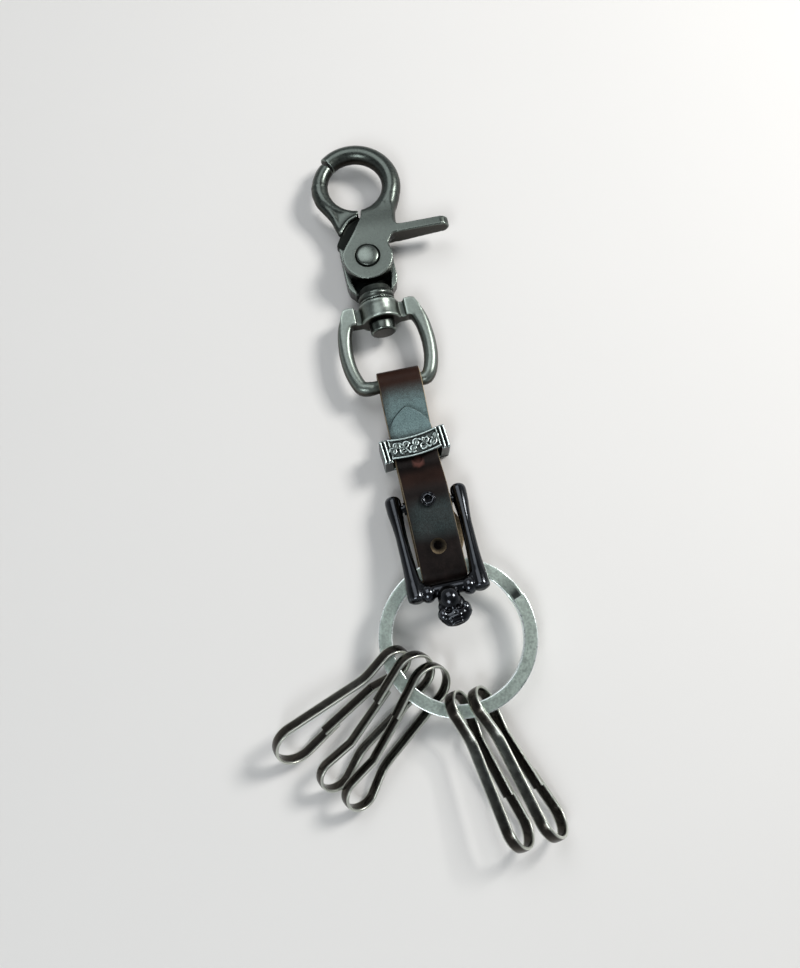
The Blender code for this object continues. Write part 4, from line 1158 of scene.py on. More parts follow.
def strap_mesh():
    line = strap_line()
    places = [Vector(place) for place in line]
    bm = bmesh.new()
    rings = []
    along = TIP_START
    for i, (y, z) in enumerate(line):
        if i:
            along += math.dist((y, z), line[i - 1])
        way = heading(places, i)
        lift_way = Vector((0, -way.y, way.x))
        half = max(pointed_half_width(along), TIP_HALF_WIDTH) if i else TIP_HALF_WIDTH
        stretch = 1 + back_layer_bulge(y, z) / half
        ring = []
        for across, lift in strap_section(half):
            x = across * stretch if across > 0 else across
            ring.append(bm.verts.new(Vector((x, y, z)) + lift_way * lift))
        rings.append(ring)
    skin(bm, rings)
    bmesh.ops.recalc_face_normals(bm, faces=bm.faces)
    return mesh_of(bm, "folded_strap_blank")


def cut_by(piece, tool):
    """Takes a tool's shape out of a piece."""
    cut = piece.modifiers.new(tool.name, "BOOLEAN")
    cut.operation = "DIFFERENCE"
    cut.object = tool
    cut.solver = "EXACT"


def punch(piece, name, stations, y, ragged=0.0):
    """Punches a hole down through the strap, given as (radius, height, forward) from the top."""
    bm = bmesh.new()
    rings = []
    for radius, height, forward in stations:
        ring = []
        for k in range(HOLE_SIDES):
            angle = FULL_TURN * k / HOLE_SIDES
            wave = sum(share * math.sin(count * angle + start) for count, share, start in RAGGED_WAVES)
            far = radius * (1 + ragged * wave)
            place = (far * math.cos(angle), y + forward + far * math.sin(angle), height)
            ring.append(bm.verts.new(place))
        rings.append(ring)
    skin(bm, rings)
    bmesh.ops.recalc_face_normals(bm, faces=bm.faces)
    tool = new_piece(name, mesh_of(bm, name))
    cut_by(piece, tool)
    return tool


def mark_leather(mesh):
    """Paints raw cut edges, the holes, the rubbed patch below the keeper, and painted shade,
    highlights and sheen.
    """
    points, ways, _ = arrays_of(mesh)
    x, y, z = points.T
    half = STRAP_WIDTH / 2
    high = z > RING_Z
    keeper_edge = KEEPER_Y - KEEPER_BREADTH / 2

    # Cut edges, shaded on the left, and the walls of the holes
    side = smooth_step(np.abs(x), half - RAW_FADE[0], half - RAW_FADE[1])
    raw = side * smooth_step(np.abs(ways[:, 0]), 0.45, 0.8)
    raw *= np.where(x > 0, 1.0, 0.6 + 0.4 * smooth_step(-z, -PIN_Z, -PIN_Z + RAW_SHADE))
    raw = np.maximum(raw, smooth_step(x, half - BULGE_SKIN, half + BULGE_SKIN) * (z < RING_Z))
    around = np.hypot(x, y + HOLE_PITCH)
    wall = (around < HOLE_RADIUS * 1.12) & (z < buckle_surface_z() - WALL_LIP) & high
    raw = np.maximum(raw, wall * (0.25 + 0.5 * smooth_step(-y - HOLE_PITCH, *WALL_LIGHT)))
    # Painted shade in the middle of the buckle hole, below the top layer
    hole_core_shade = np.hypot(x, y + HOLE_PITCH - HOLE_SLANT) < HOLE_CORE_RADIUS * 1.15
    deep = hole_core_shade & high & (z < TOP_STUD_Z)

    # The pointed tip's edge is painted black, a painted shadow along it
    tip = smooth_step(y, TIP_Y - TIP_LENGTH, TIP_Y - TIP_LENGTH / 2)
    cut = tip * smooth_step(np.hypot(ways[:, 0], ways[:, 1]), 0.6, 0.9)
    cut *= high * (y < TIP_Y + TIP_BEYOND) * (x < half - TIP_EDGE)
    raw *= 1 - cut
    deep = np.maximum(deep, cut)

    # Rubbed patch, painted sheen, a warmer brown before the fold and a painted brown sheen below the
    # keeper
    patch_y = y - keeper_edge + PATCH_BELOW_KEEPER
    patch = np.hypot(x / PATCH_SHAPE[0], patch_y / PATCH_SHAPE[1])
    worn = smooth_step(-patch, *PATCH_FADE) * (z > PIN_Z)
    upper = smooth_step(y, *(KEEPER_Y + reach for reach in SHEEN_ABOVE_KEEPER))
    upper *= 1 - smooth_step(y, *(UPPER_FOLD_Y - reach for reach in SHEEN_BEFORE_FOLD))
    lower = smooth_step(-y, *SHEEN_BELOW_STUD[:2])
    lower *= (1 - smooth_step(-y, *SHEEN_BELOW_STUD[2:])) * 0.14
    inward = 1 - smooth_step(np.abs(x - SHEEN_MIDDLE_X), half * 0.75, half)
    warm = smooth_step(y, *(UPPER_FOLD_Y - reach for reach in WARM_BEFORE_FOLD))
    # Painted brown sheen in a band below the keeper
    sheen_below_keeper = smooth_step(-np.abs(y - keeper_edge + SHEEN_BELOW_KEEPER), *SHEEN_BELOW_KEEPER_FADE)

    # Painted highlight on the right cut edges above the keeper, the side towards the key lamp
    pale = smooth_step(x, 0, LIT_EDGE_FADE[0]) * smooth_step(y, KEEPER_Y, KEEPER_Y + LIT_EDGE_FADE[1])
    paint(mesh, "pale", pale)
    paint(mesh, "raw", np.clip(raw, 0, 1))
    paint(mesh, "worn", worn)
    paint(mesh, "warm", np.maximum(warm, 0.55 * sheen_below_keeper))
    paint(mesh, "deep", deep)
    # Painted sheen between the keeper and the fold, and faintly below the stud
    bloom = np.clip(upper + lower, 0, 1) * (0.5 + 0.5 * inward) * (z > PIN_Z - SHEEN_DEPTH)
    paint(mesh, "bloom", bloom)


# Clips and ring

def clip_bends():
    small_centre = CLIP_STRIP / 2 + CLIP_SMALL_RADIUS
    big_centre = CLIP_LENGTH - CLIP_STRIP / 2 - CLIP_BIG_RADIUS
    to_small = math.hypot(CLIP_WAIST_AT - small_centre, CLIP_WAIST_HALF)
    to_big = math.hypot(big_centre - CLIP_WAIST_AT, CLIP_WAIST_HALF)
    small_angle = math.atan2(CLIP_WAIST_HALF, CLIP_WAIST_AT - small_centre)
    small_angle += math.acos(CLIP_SMALL_RADIUS / to_small)
    big_angle = math.atan2(CLIP_WAIST_HALF, CLIP_WAIST_AT - big_centre)
    big_angle -= math.acos(CLIP_BIG_RADIUS / to_big)
    return small_centre, small_angle, big_centre, big_angle


def gate_side_point(at, inward):
    _, _, big_centre, big_angle = clip_bends()
    end_u = big_centre + CLIP_BIG_RADIUS * math.cos(big_angle)
    end_v = -CLIP_BIG_RADIUS * math.sin(big_angle)
    share = (at - CLIP_WAIST_AT) / (end_u - CLIP_WAIST_AT)
    return at, -CLIP_WAIST_HALF + (end_v + CLIP_WAIST_HALF) * share + inward


def arc_points(centre, radius, start, end, count):
    return [(centre + radius * math.cos(a), radius * math.sin(a)) for a in spaced(start, end, count)]


def clip_frame_line():
    small_centre, small_angle, big_centre, big_angle = clip_bends()
    line = [(CLIP_WAIST_AT, -CLIP_WAIST_HALF)]
    line += arc_points(small_centre, CLIP_SMALL_RADIUS, FULL_TURN - small_angle, small_angle, 34)
    line += [(CLIP_WAIST_AT, CLIP_WAIST_HALF)]
    line += arc_points(big_centre, CLIP_BIG_RADIUS, big_angle, -big_angle, 38)
    line += [gate_side_point(CLIP_LENGTH - CLIP_LIP_FROM_END, 0)]
    return line


def clip_gate_line():
    """The gate grows out of the waist, in one line with the frame's strip."""
    root = Vector(gate_side_point(CLIP_WAIST_AT, 0))
    end = Vector(gate_side_point(CLIP_LENGTH - CLIP_GATE_FROM_END, CLIP_STRIP + RUNNING_GAP))
    return [root.lerp(end, share) for share in spaced(0, 1, 12)]


def eased_corners(line, rounds=2):
    """Cuts the corners of a flat line, so that its kinks become short bends."""
    points = [Vector(point) for point in line]
    for _ in range(rounds):
        finer = [points[0]]
        for a, b in zip(points, points[1:]):
            reach = min(0.25, CLIP_KINK / max((b - a).length, TINY))
            finer += [a.lerp(b, reach), a.lerp(b, 1 - reach)]
        finer.append(points[-1])
        points = finer
    return points


def swing_axis(place_degrees):
    place = math.radians(place_degrees)
    return Vector((-math.sin(place), math.cos(place), 0))


def clip_matrix(place_degrees, heading_degrees, roll_degrees, pitch_degrees, hung):
    """Where a clip lies, in the chain's axes."""
    place, heading, roll = (math.radians(a) for a in (place_degrees, heading_degrees, roll_degrees))
    across, up = RING_RADIUS * math.cos(place), RING_RADIUS * math.sin(place)
    point = Vector((across, RING_CENTRE_Y + up, RING_Z))
    outward = Vector((math.cos(heading), math.sin(heading), 0))
    leftward = Vector((outward.y, -outward.x, 0))
    upward = leftward * math.cos(roll) + Vector((0, 0, math.sin(roll)))
    axes = Matrix((outward, upward, outward.cross(upward))).transposed().to_4x4()
    drop = Matrix.Rotation(math.radians(pitch_degrees), 4, swing_axis(place_degrees))
    if hung == "small":
        seat = Matrix.Translation((-CLIP_SMALL_SEAT, 0, 0))
    else:
        depth = CLIP_DEEP_SEAT if hung == "deep" else CLIP_BIG_SEAT
        seat = Matrix.Rotation(math.pi, 4, "Z") @ Matrix.Translation((depth - CLIP_LENGTH, 0, 0))
    return Matrix.Translation(point) @ drop @ axes @ seat


def strip_stations(line, matrix):
    """Stations of a clip's strip: its breadth runs square to the clip's own plane."""
    turn = matrix.to_3x3()
    stations = []
    for i, point in enumerate(line):
        way = heading(line, i)
        place = matrix @ Vector((point.x, point.y, 0))
        stations.append((place, turn @ Vector((0, 0, 1)), turn @ Vector((-way.y, way.x, 0))))
    return stations


def ring_height_at(turned_degrees):
    level = (RING_HEIGHT + RING_COIL_GAP) / 2
    dive_start = 360 - RING_DIVE_DEGREES
    if turned_degrees <= dive_start:
        return RING_Z + level
    if turned_degrees >= 360:
        return RING_Z - level
    share = (turned_degrees - dive_start) / RING_DIVE_DEGREES
    return RING_Z + level * math.cos(math.pi * share)


def ring_stations():
    whole = 720 - RING_DIVE_DEGREES - RING_END_GAP_DEGREES
    stations = []
    for turn in spaced(0, whole, RING_STATIONS):
        angle = math.radians(RING_CUT_DEGREES - turn)
        outward = Vector((math.cos(angle), math.sin(angle), 0))
        point = outward * RING_RADIUS + Vector((0, RING_CENTRE_Y, ring_height_at(turn)))
        stations.append((point, outward, Vector((0, 0, 1))))
    return stations


# Hook, bail and shackle

def eye_point(degrees, radius):
    angle = math.radians(degrees)
    eye_x = BAIL_SEAT_X + EYE_OFFSET_X
    return Vector((eye_x + radius * math.cos(angle), EYE_Y + radius * math.sin(angle), EYE_Z))


def eye_bar(bm, start, end, start_radius, end_radius):
    """Part of the hook's round eye."""
    count = 2 + round(abs(end - start) / 3)
    radii = spaced(start_radius, end_radius, count)
    angles = spaced(start, end, count)
    points = [eye_point(a, EYE_HOLE_RADIUS + r) for a, r in zip(angles, radii)]
    bar_along(bm, points, radii, sides=BAR_SIDES)


# Left side of the fixed arm and its right crest, in shares of the boss's radius from the rivet
ARM_LEFT = ((-1.29, 3.02), (-1.15, 2.67), (-0.94, 2.17), (-0.84, 1.62), (-0.85, 1.38))
ARM_RIGHT = ((-0.04, 2.02), (-0.35, 1.90), (-0.53, 1.77), (-0.73, 1.55), (-0.85, 1.38))
CREST_RADIUS = 0.5 * MM


def from_rivet(shares):
    """Places round the rivet, given in shares of the boss's radius."""
    r = BOSS_RADIUS
    return [(BAIL_SEAT_X + r * across, RIVET_Y + r * up, 0) for across, up in shares]


def arc_of(centre, radius, start_degrees, end_degrees, count=9):
    angles = [math.radians(a) for a in spaced(start_degrees, end_degrees, count)]
    return [(centre[0] + radius * math.cos(a), centre[1] + radius * math.sin(a), 0) for a in angles]


def along_eye(start_degrees, end_degrees, radius, count=7):
    """Points over the middle of the eye's bar, where a web runs into it."""
    angles = spaced(start_degrees, end_degrees, count)
    return [tuple(eye_point(a, EYE_HOLE_RADIUS + radius)) for a in angles]


def plate_outline():
    """The lever's plate: round boss, notch, root of the tab, then up into the eye's bar."""
    rivet = (BAIL_SEAT_X, RIVET_Y)
    points = arc_of(rivet, BOSS_RADIUS, 168, 382, 12)
    points += from_rivet(((1.03, 0.58), (1.20, 0.76), (1.42, 0.83), (1.56, 0.92), (1.47, 1.12)))
    points += from_rivet(((1.28, 1.40), (1.24, 1.70)))
    points += along_eye(-50, -88, LEVER_ARC_RADIUS)
    points += from_rivet(((0.20, 2.01), (0.007, 1.65), (-0.29, 1.20), (-0.603, 0.786), (-0.86, 0.44)))
    return flowing(points, 5, closed=True)


def arm_pattern(bm):
    """The fixed arm: the eye's bar thins into a web between two crests that meet in a point."""
    eye_bar(bm, EYE_JOINT_DEGREES + EYE_JOINT_GAP_DEGREES, 184, FIXED_ARC_TIP_RADIUS, FIXED_ARC_RADIUS)
    shares = [share**2 * (3 - 2 * share) for share in spaced(0, 1, 24)]
    radii = [FIXED_ARC_RADIUS * (1 - 0.58 * share) for share in shares]
    points = [eye_point(a, EYE_HOLE_RADIUS + r) for a, r in zip(spaced(178, 265, 24), radii)]
    bar_along(bm, points, radii, sides=BAR_SIDES)
    left = [eye_point(a, EYE_HOLE_RADIUS + FIXED_ARC_RADIUS) for a in (170, 180)]
    left += [place + Vector((0, 0, EYE_Z)) for place in map(Vector, from_rivet(ARM_LEFT))]
    line = flowing(left, 6)
    shares = [share**1.5 for share in spaced(0, 1, len(line))]
    bar_along(bm, line, [FIXED_ARC_RADIUS * (1 - 0.74 * share) for share in shares])
    lift = Vector((0, 0, WEB_TOP_Z - CREST_RADIUS * 0.7))
    crest = flowing([place + lift for place in map(Vector, from_rivet(ARM_RIGHT))], 6)
    bar_along(bm, crest, [CREST_RADIUS] * len(crest))
    outline = along_eye(192, 262, FIXED_ARC_RADIUS * 0.5, 8)
    outline += from_rivet(ARM_RIGHT)
    outline += from_rivet(ARM_LEFT)[::-1]
    plate_at(bm, outline, BODY_LOW_Z + BODY_FLOOR, WEB_TOP_Z - CREST_RADIUS * 0.6)
    under = from_rivet(ARM_RIGHT)
    under += from_rivet(((-1.10, 0.95), (-0.55, 0.80), (-0.05, 1.45), (0.24, 2.00)))
    plate_at(bm, under, BODY_LOW_Z + BODY_FLOOR, BODY_TOP_Z)


def carved(name, solid, *tools):
    """A bmesh with others cut out of it, as a new bmesh."""
    piece = new_piece(name, mesh_of(solid, name))
    helpers = []
    for number, tool in enumerate(tools):
        bmesh.ops.recalc_face_normals(tool, faces=tool.faces)
        helper_name = f"{name}_tool_{number}"
        helper = new_piece(helper_name, mesh_of(tool, helper_name))
        helpers.append(helper)
        cut_by(piece, helper)
    bpy.context.view_layer.update()
    mesh = finished(piece, name)
    for helper in helpers:
        bpy.data.objects.remove(helper)
    result = bmesh.new()
    result.from_mesh(mesh)
    bpy.data.meshes.remove(mesh)
    return result


def poured(bm, other):
    """Adds one bmesh to another and frees it."""
    mesh = mesh_of(other, "poured")
    bm.from_mesh(mesh)
    bpy.data.meshes.remove(mesh)


def round_tool(x, y, radius, low_z, high_z):
    tool = bmesh.new()
    profile = ((0, high_z), (radius, high_z), (radius, low_z), (0, low_z))
    lathe(tool, profile, Matrix.Translation((x, y, 0)), TOOL_SIDES)
    return tool


def body_box():
    """The hook's body: a dish with side walls, open on top over the spring."""
    rivet = (BAIL_SEAT_X, RIVET_Y)
    half, down = BODY_HALF_WIDTH, RIVET_Y - NECK_TOP_Y
    shares = ((1, 0), (0.995, 0.58), (0.93, 0.80), (0.70, 1.02))
    right = [(half * across, -down * fall) for across, fall in shares]
    outline = arc_of(rivet, half, 0, 120, 12) + from_rivet(ARM_RIGHT[2:])
    outline += [(BAIL_SEAT_X - half, RIVET_Y + down * 0.75, 0)]
    outline += [(BAIL_SEAT_X - x, RIVET_Y + y, 0) for x, y in right]
    outline += [(BAIL_SEAT_X + x, RIVET_Y + y, 0) for x, y in reversed(right)][:-1]
    solid = bmesh.new()
    plate_at(solid, outline, BODY_LOW_Z, BODY_TOP_Z)
    floor_z = BODY_LOW_Z + BODY_FLOOR
    mouth = bmesh.new()
    wide = half - BODY_FLOOR * 0.95
    narrow = half * 0.66
    shape = [(-narrow, -down * 0.94), (narrow, -down * 0.94)]
    shape += [(wide, -down * 0.55), (wide, 0), (-wide, 0), (-wide, -down * 0.55)]
    plate_at(mouth, [(BAIL_SEAT_X + x, RIVET_Y + y) for x, y in shape], floor_z, BODY_TOP_Z * 2)
    pocket = round_tool(*rivet, POCKET_RADIUS, floor_z + LAYER_GAP, BODY_TOP_Z * 2)
    bore = round_tool(*rivet, RIVET_BORE_RADIUS, BELOW_ALL_Z, BODY_TOP_Z * 2)
    return carved("body_box", solid, mouth, pocket, bore)


def neck_turning(bm):
    """A thin ring, a groove and a broad ring that thins into the body, bored for the swivel pin."""
    r, groove, length = NECK_RADIUS, NECK_GROOVE_RADIUS, NECK_LENGTH
    shares = ((0, 0.93), (0.03, 0.96), (0.12, 0.96))
    profile = [(BORE_RADIUS, 0)] + [(r * wide, length * at) for at, wide in shares]
    profile += [(groove, length * 0.16), (groove, length * 0.22)]
    shares = ((0.28, 0.90), (0.34, 0.95), (0.56, 0.95), (0.64, 0.88), (0.70, 0.82), (1.2, 0.80))
    profile += [(r * wide, length * at) for at, wide in shares] + [(BORE_RADIUS, length * 1.2)]
    hollow_turning(bm, profile, along_chain((BAIL_SEAT_X, NECK_LOW_Y, EYE_Z)))


def hollow_turning(bm, profile, matrix):
    """A closed profile of (radius, height) points turned into a tube."""
    skin(bm, turned_rings(bm, profile, matrix, TURNED_SIDES), closed=True)


def along_chain(place):
    """Turns the Z axis of a turned part along the chain."""
    return Matrix.Translation(place) @ Matrix.Rotation(-math.pi / 2, 4, "X")


def lever_side(bm):
    """The lever's right side, which sweeps from the root of the tab into the eye's outer edge."""
    shares = ((1.22, 1.26, 0.34, 0.20), (1.24, 1.62, 0.28, 0.24), (1.26, 1.96, 0.17, 0.30))
    shares += ((1.34, 2.30, 0.05, 0.36), (1.50, 2.72, 0.0, 0.39))
    stations = []
    for across, up, lift, wide in shares:
        place = from_rivet(((across, up),))[0]
        stations.append((place[0], place[1], EYE_Z + BOSS_RADIUS * lift, BOSS_RADIUS * wide))
    points = flowing([station[:3] for station in stations], 5)
    radii = [place.x for place in flowing([(station[3], 0, 0) for station in stations], 5)]
    bar_along(bm, points, radii)


def tab_pattern(bm):
    """The thumb tab: deep at its root, round at its end, standing on edge."""
    end = TAB_TIP_DEPTH / 2
    side = [(-TAB_X * 0.3, 0), (-TAB_X * 0.3, -TAB_DEPTH), (TAB_LENGTH - end, -TAB_TIP_DEPTH)]
    side += [point[:2] for point in arc_of((TAB_LENGTH - end, -end), end, -80, 90, 9)]
    half = TAB_THICKNESS / 2
    tab = bmesh.new()
    plate_at(tab, side, -half, half)
    turn = Matrix.Translation((BAIL_SEAT_X + TAB_X, TAB_Y, PLATE_TOP_Z))
    turn = turn @ Matrix.Rotation(TAB_SLOPE, 4, "Z") @ Matrix.Rotation(math.pi / 2, 4, "X")
    bmesh.ops.transform(tab, matrix=turn, verts=tab.verts)
    poured(bm, tab)


def pressed_down(mesh, ceiling):
    """Lowers whatever stands above the ceiling, a height for each y."""
    points, _, _ = arrays_of(mesh)
    points[:, 2] = np.minimum(points[:, 2], ceiling(points[:, 1]))
    reshape(mesh, points)


def plate_ceiling(y):
    """The lever's flat top, which slopes down into the eye's bar."""
    rivet_y = STUD.y + RIVET_Y
    slope = smooth_step(y, rivet_y + BOSS_RADIUS * 0.95, rivet_y + BOSS_RADIUS * 2.4)
    return PLATE_TOP_Z - (PLATE_TOP_Z - EYE_Z - LEVER_ARC_RADIUS) * slope


def barrel_turning(bm):
    """Waisted barrel with a lip at each end."""
    r, length = BARREL_RADIUS, BARREL_LENGTH
    stations = ((0.0, 0.96), (0.03, 1.0), (0.09, 1.0), (0.16, 0.975), (0.4, 0.955), (0.72, 0.96))
    stations += ((0.86, 0.985), (0.94, 0.985), (1.0, 0.94))
    outside = [(r * wide, length * at) for at, wide in stations]
    profile = [(BORE_RADIUS, 0)] + outside + [(BORE_RADIUS, length)]
    hollow_turning(bm, profile, along_chain((BAIL_SEAT_X, BARREL_LOW_Y, EYE_Z)))


def squared_round(width, height, power, count=30):
    """A round section whose sides flatten as the power grows."""
    points = []
    for k in range(count):
        angle = FULL_TURN * k / count
        across, up = math.cos(angle), math.sin(angle)
        b = math.copysign(abs(across) ** (2 / power), across) * width / 2
        t = math.copysign(abs(up) ** (2 / power), up) * height / 2
        points.append((b, t))
    return points


def bail_arm(bm, side):
    """One arm of the bail: round where it leaves the strap, squared where it meets its shoulder."""
    inside, edge = ((x - side * BAIL_SEAT_X) / BAIL_HALF_WIDTH for x in BAIL_ROOT_X)
    shares = ((inside, 0.0), (edge, -0.005), (0.66, 0.008), (0.765, 0.098), (0.84, 0.25))
    shares += ((0.866, 0.42), (0.850, 0.58), (0.812, 0.71))
    shares += ((0.755, 0.80), (0.685, 0.870), (0.615, 0.905))
    line = flowing([(side * BAIL_HALF_WIDTH * across, BAIL_SPAN * up, 0) for across, up in shares], 6)
    bar = BAR_RADIUS * 1.94
    rings = []
    for i, point in enumerate(line):
        ahead = heading(line, i)
        across = Vector((-ahead.y, ahead.x, 0)) * side
        place = Vector((BAIL_SEAT_X + point.x, UPPER_FOLD_Y + point.y, UPPER_FOLD_Z))
        outside = min(max((abs(place.x) - BAIL_GROWS_FROM_X) / BAIL_GROWS_OVER, 0), 1)
        width = bar + (BAIL_ARM_WIDTH * 1.06 - bar) * outside
        height = bar + (BAIL_THICKNESS - bar) * outside
        square = min(max((i / (len(line) - 1) - 0.5) / 0.4, 0), 1)
        shape = squared_round(width, height, 2.2 + 4.5 * square**2)
        rings.append([bm.verts.new(place + across * b + Vector((0, 0, t))) for b, t in shape])
    skin(bm, rings)


def bail_shoulder(bm, side):
    """A squared shoulder, level with the arm's top, and its lower link to the barrel."""
    low_y, high_y = BARREL_LOW_Y, BARREL_LOW_Y + BARREL_LENGTH
    low_z, top_z = UPPER_FOLD_Z - BAIL_THICKNESS / 2, UPPER_FOLD_Z + BAIL_THICKNESS / 2
    shape = ((0.525, 0.06), (0.525, 0.97), (0.66, 1.0), (0.76, 0.93))
    shape += ((0.84, 0.55), (0.86, 0.2), (0.74, -0.04))
    half = side * BAIL_HALF_WIDTH
    outline = [(BAIL_SEAT_X + half * x, low_y + (high_y - low_y) * y) for x, y in shape]
    plate_at(bm, outline, low_z, top_z)
    ends = (BAIL_SEAT_X + side * BARREL_RADIUS * 0.7, BAIL_SEAT_X + half * 0.56)
    low = (min(ends), low_y + LINK_LOW_INSET, low_z)
    block_at(bm, low, (max(ends), high_y - LINK_HIGH_INSET, top_z - LINK_TOP_INSET))


def in_chain(bm):
    bmesh.ops.transform(bm, matrix=CHAIN, verts=bm.verts)


BOW_OVER_RING_Z = RING_Z + RING_HEIGHT + RING_COIL_GAP / 2 + BOW_RING_CLEARANCE + BOW_MIDDLE_RADIUS
BOW_CROSSING_Y = RING_CENTRE_Y + math.sqrt(RING_RADIUS**2 - BOW_HALF_WIDTH**2)
BOW_TILT = math.atan2(BOW_OVER_RING_Z - PIN_Z, -BOW_CROSSING_Y)
FOLD_ALONG_BOW = (RING_Z - PIN_Z) * math.sin(BOW_TILT) - LOWER_FOLD_Y * math.cos(BOW_TILT)
BAR_FROM_FOLD = LOWER_FOLD_BEND + HALF_LEATHER + BOW_FOLD_CLEARANCE + BOW_BAR_RADIUS
FOLD_FROM_PIN = math.hypot(LOWER_FOLD_Y, RING_Z - PIN_Z)
BOW_LENGTH = FOLD_ALONG_BOW + math.sqrt(FOLD_ALONG_BOW**2 - FOLD_FROM_PIN**2 + BAR_FROM_FOLD**2)
BOW_TURN = Matrix.Rotation(-BOW_TILT, 4, "X")
SKULL_TURN = BOW_TURN @ Matrix.Rotation(SKULL_LEAN, 4, "Z")


def bow_point(x, along, height=0.0):
    run, rise = math.cos(BOW_TILT), math.sin(BOW_TILT)
    return Vector((x, height * rise - along * run, PIN_Z + along * rise + height * run))


def bow_pattern(bm):
    """Bone-like arms with flared ends and a crossbar with filleted corners."""
    arm_shares = (
        (-0.99, 0.30), (-0.95, 0.62), (-0.84, 0.88), (-0.66, 1.02),
        (-0.3, 1.03), (0.3, 0.97), (1.0, 0.84), (1.8, 0.74),
    )
    middle_shares = ((0.42, 1.06), (0.62, 1.12), (0.80, 1.28))
    knob_shares = ((0.6, 1.45), (1.0, 1.15), (1.25, 0.6))
    bar_radius = BOW_BAR_RADIUS * 1.08
    half = bow_half_at(BOW_LENGTH)
    for side in (-1, 1):
        stations = [(BOW_END_REACH * at, BOW_END_RADIUS * wide) for at, wide in arm_shares]
        stations += [(BOW_LENGTH * at, BOW_MIDDLE_RADIUS * wide) for at, wide in middle_shares]
        stations += [(BOW_LENGTH * 0.92, BOW_BAR_RADIUS * 1.42)]
        stations += [(BOW_LENGTH + bar_radius * at, BOW_BAR_RADIUS * wide) for at, wide in knob_shares]
        line = flowing([(along, radius, 0) for along, radius in stations], 5)
        points = [bow_point(side * bow_half_at(place.x), place.x) for place in line]
        bar_along(bm, points, [place.y for place in line])
        corner = arc_of((half - BOW_FILLET, BOW_LENGTH - BOW_FILLET), BOW_FILLET, 0, 90, 7)
        fillet = [bow_point(side * across, along) for across, along, _ in corner]
        bar_along(bm, fillet, [BOW_MIDDLE_RADIUS * 1.1] * len(fillet))
        knuckle_x = side * (half - KNUCKLE_INSET)
        knuckle = bow_point(knuckle_x, BOW_LENGTH + KNUCKLE_BELOW, KNUCKLE_LIFT)
        ball_at(bm, knuckle, KNUCKLE_RADII, BOW_TURN)
    crossbar = [bow_point(x, BOW_LENGTH) for x in spaced(-half, half, 9)]
    bar_along(bm, crossbar, [bar_radius] * len(crossbar))


def bow_half_at(along):
    """Half the bow's width: its arms draw in towards the crossbar."""
    return BOW_HALF_WIDTH - BOW_DRAW_IN * min(max(along / BOW_LENGTH, 0), 1)


def skull_point(across, along, height):
    """A place on the skull, in shares of its radius from the middle of the head."""
    x = (across * math.cos(SKULL_LEAN) + along * math.sin(SKULL_LEAN)) * SKULL_RADIUS
    y = (along * math.cos(SKULL_LEAN) - across * math.sin(SKULL_LEAN)) * SKULL_RADIUS
    return bow_point(SKULL_OFFSET_X + x, BOW_LENGTH + SKULL_DROP + y, height * SKULL_RADIUS)


def skull_pattern(bm):
    """Smooth cranium, a broad face with cheekbones and jaws, and three rows of teeth."""
    r = SKULL_RADIUS
    masses = [
        ((0, 0, 0.14), (0.80, 0.88, 0.84)),
        ((0, -0.45, -0.10), (0.62, 0.50, 0.50)),
        ((0.02, 0.58, 0.02), (0.88, 0.56, 0.60)),
        ((0.04, 1.16, -0.02), (1.14, 0.64, 0.54)),
        ((0.0, 1.46, -0.06), (0.92, 0.46, 0.46)),
    ]
    for side in (-1, 1):
        masses.append(((side * 0.50, 0.42, 0.02), (0.46, 0.52, 0.48)))
        masses.append(((side * 0.80, 0.94, 0.10), (0.38, 0.46, 0.40)))
    for at, radii in masses:
        ball_at(bm, skull_point(*at), [share * r for share in radii], SKULL_TURN)
    for row, along in enumerate(TOOTH_ROWS):
        ridge = []
        for a in spaced(-0.62 + 0.06 * row, 0.30, 10):
            ridge.append(skull_point(a, along + TOOTH_CURVE * a * a, 0.44 - 0.10 * row - 0.24 * a * a))
        bar_along(bm, ridge, [0.095 * r] * len(ridge), sides=14)


def carve_skull(mesh):
    """Eye sockets and nose, then a softening of the face round them."""
    r = SKULL_RADIUS
    across, along, height = SOCKET_AT
    hollows = [((side * across, along, height), SOCKET_RADII) for side in (-1, 1)]
    for place, radii in hollows + [(NOSE_AT, NOSE_RADII)]:
        dent(mesh, CHAIN @ skull_point(*place), [share * r for share in radii], SKULL_TURN)
    points, _, edges = arrays_of(mesh)
    near = np.linalg.norm(points - np.array(CHAIN @ skull_point(0, 0.8, 0.4)), axis=1)
    share = (1 - smooth_step(near, 0.55 * r, 0.8 * r))[:, None]
    for _ in range(4):
        points += (neighbour_mean(points, edges, len(points)) - points) * share * 0.7
    reshape(mesh, points)


def mark_skull(mesh):
    """Paints shade into the eye sockets and into the lines between the rows of teeth."""
    points, _, _ = arrays_of(mesh)
    centre = np.array(CHAIN @ skull_point(0, 0, 0))
    across, along, height = (
        (points - centre) @ (np.array(CHAIN @ skull_point(*unit)) - centre) / SKULL_RADIUS**2
        for unit in ((1, 0, 0), (0, 1, 0), (0, 0, 1))
    )
    row = (along - TOOTH_CURVE * across**2 - TOOTH_LINE_FROM) / TOOTH_LINE_PITCH
    lines = smooth_step(np.cos(FULL_TURN * row), 0.2, 0.9) * (row > -0.3) * (row < 3.3)
    lines *= (1 - smooth_step(np.abs(across + 0.14), 0.45, 0.62)) * (height > -0.1)
    sockets = np.hypot((np.abs(across) - SOCKET_AT[0]) / 0.30, (along - SOCKET_AT[1]) / 0.22)
    sockets = (1 - smooth_step(sockets, 0.6, 1.0)) * (height > 0.1)
    paint_shade(mesh, np.maximum(lines, sockets))


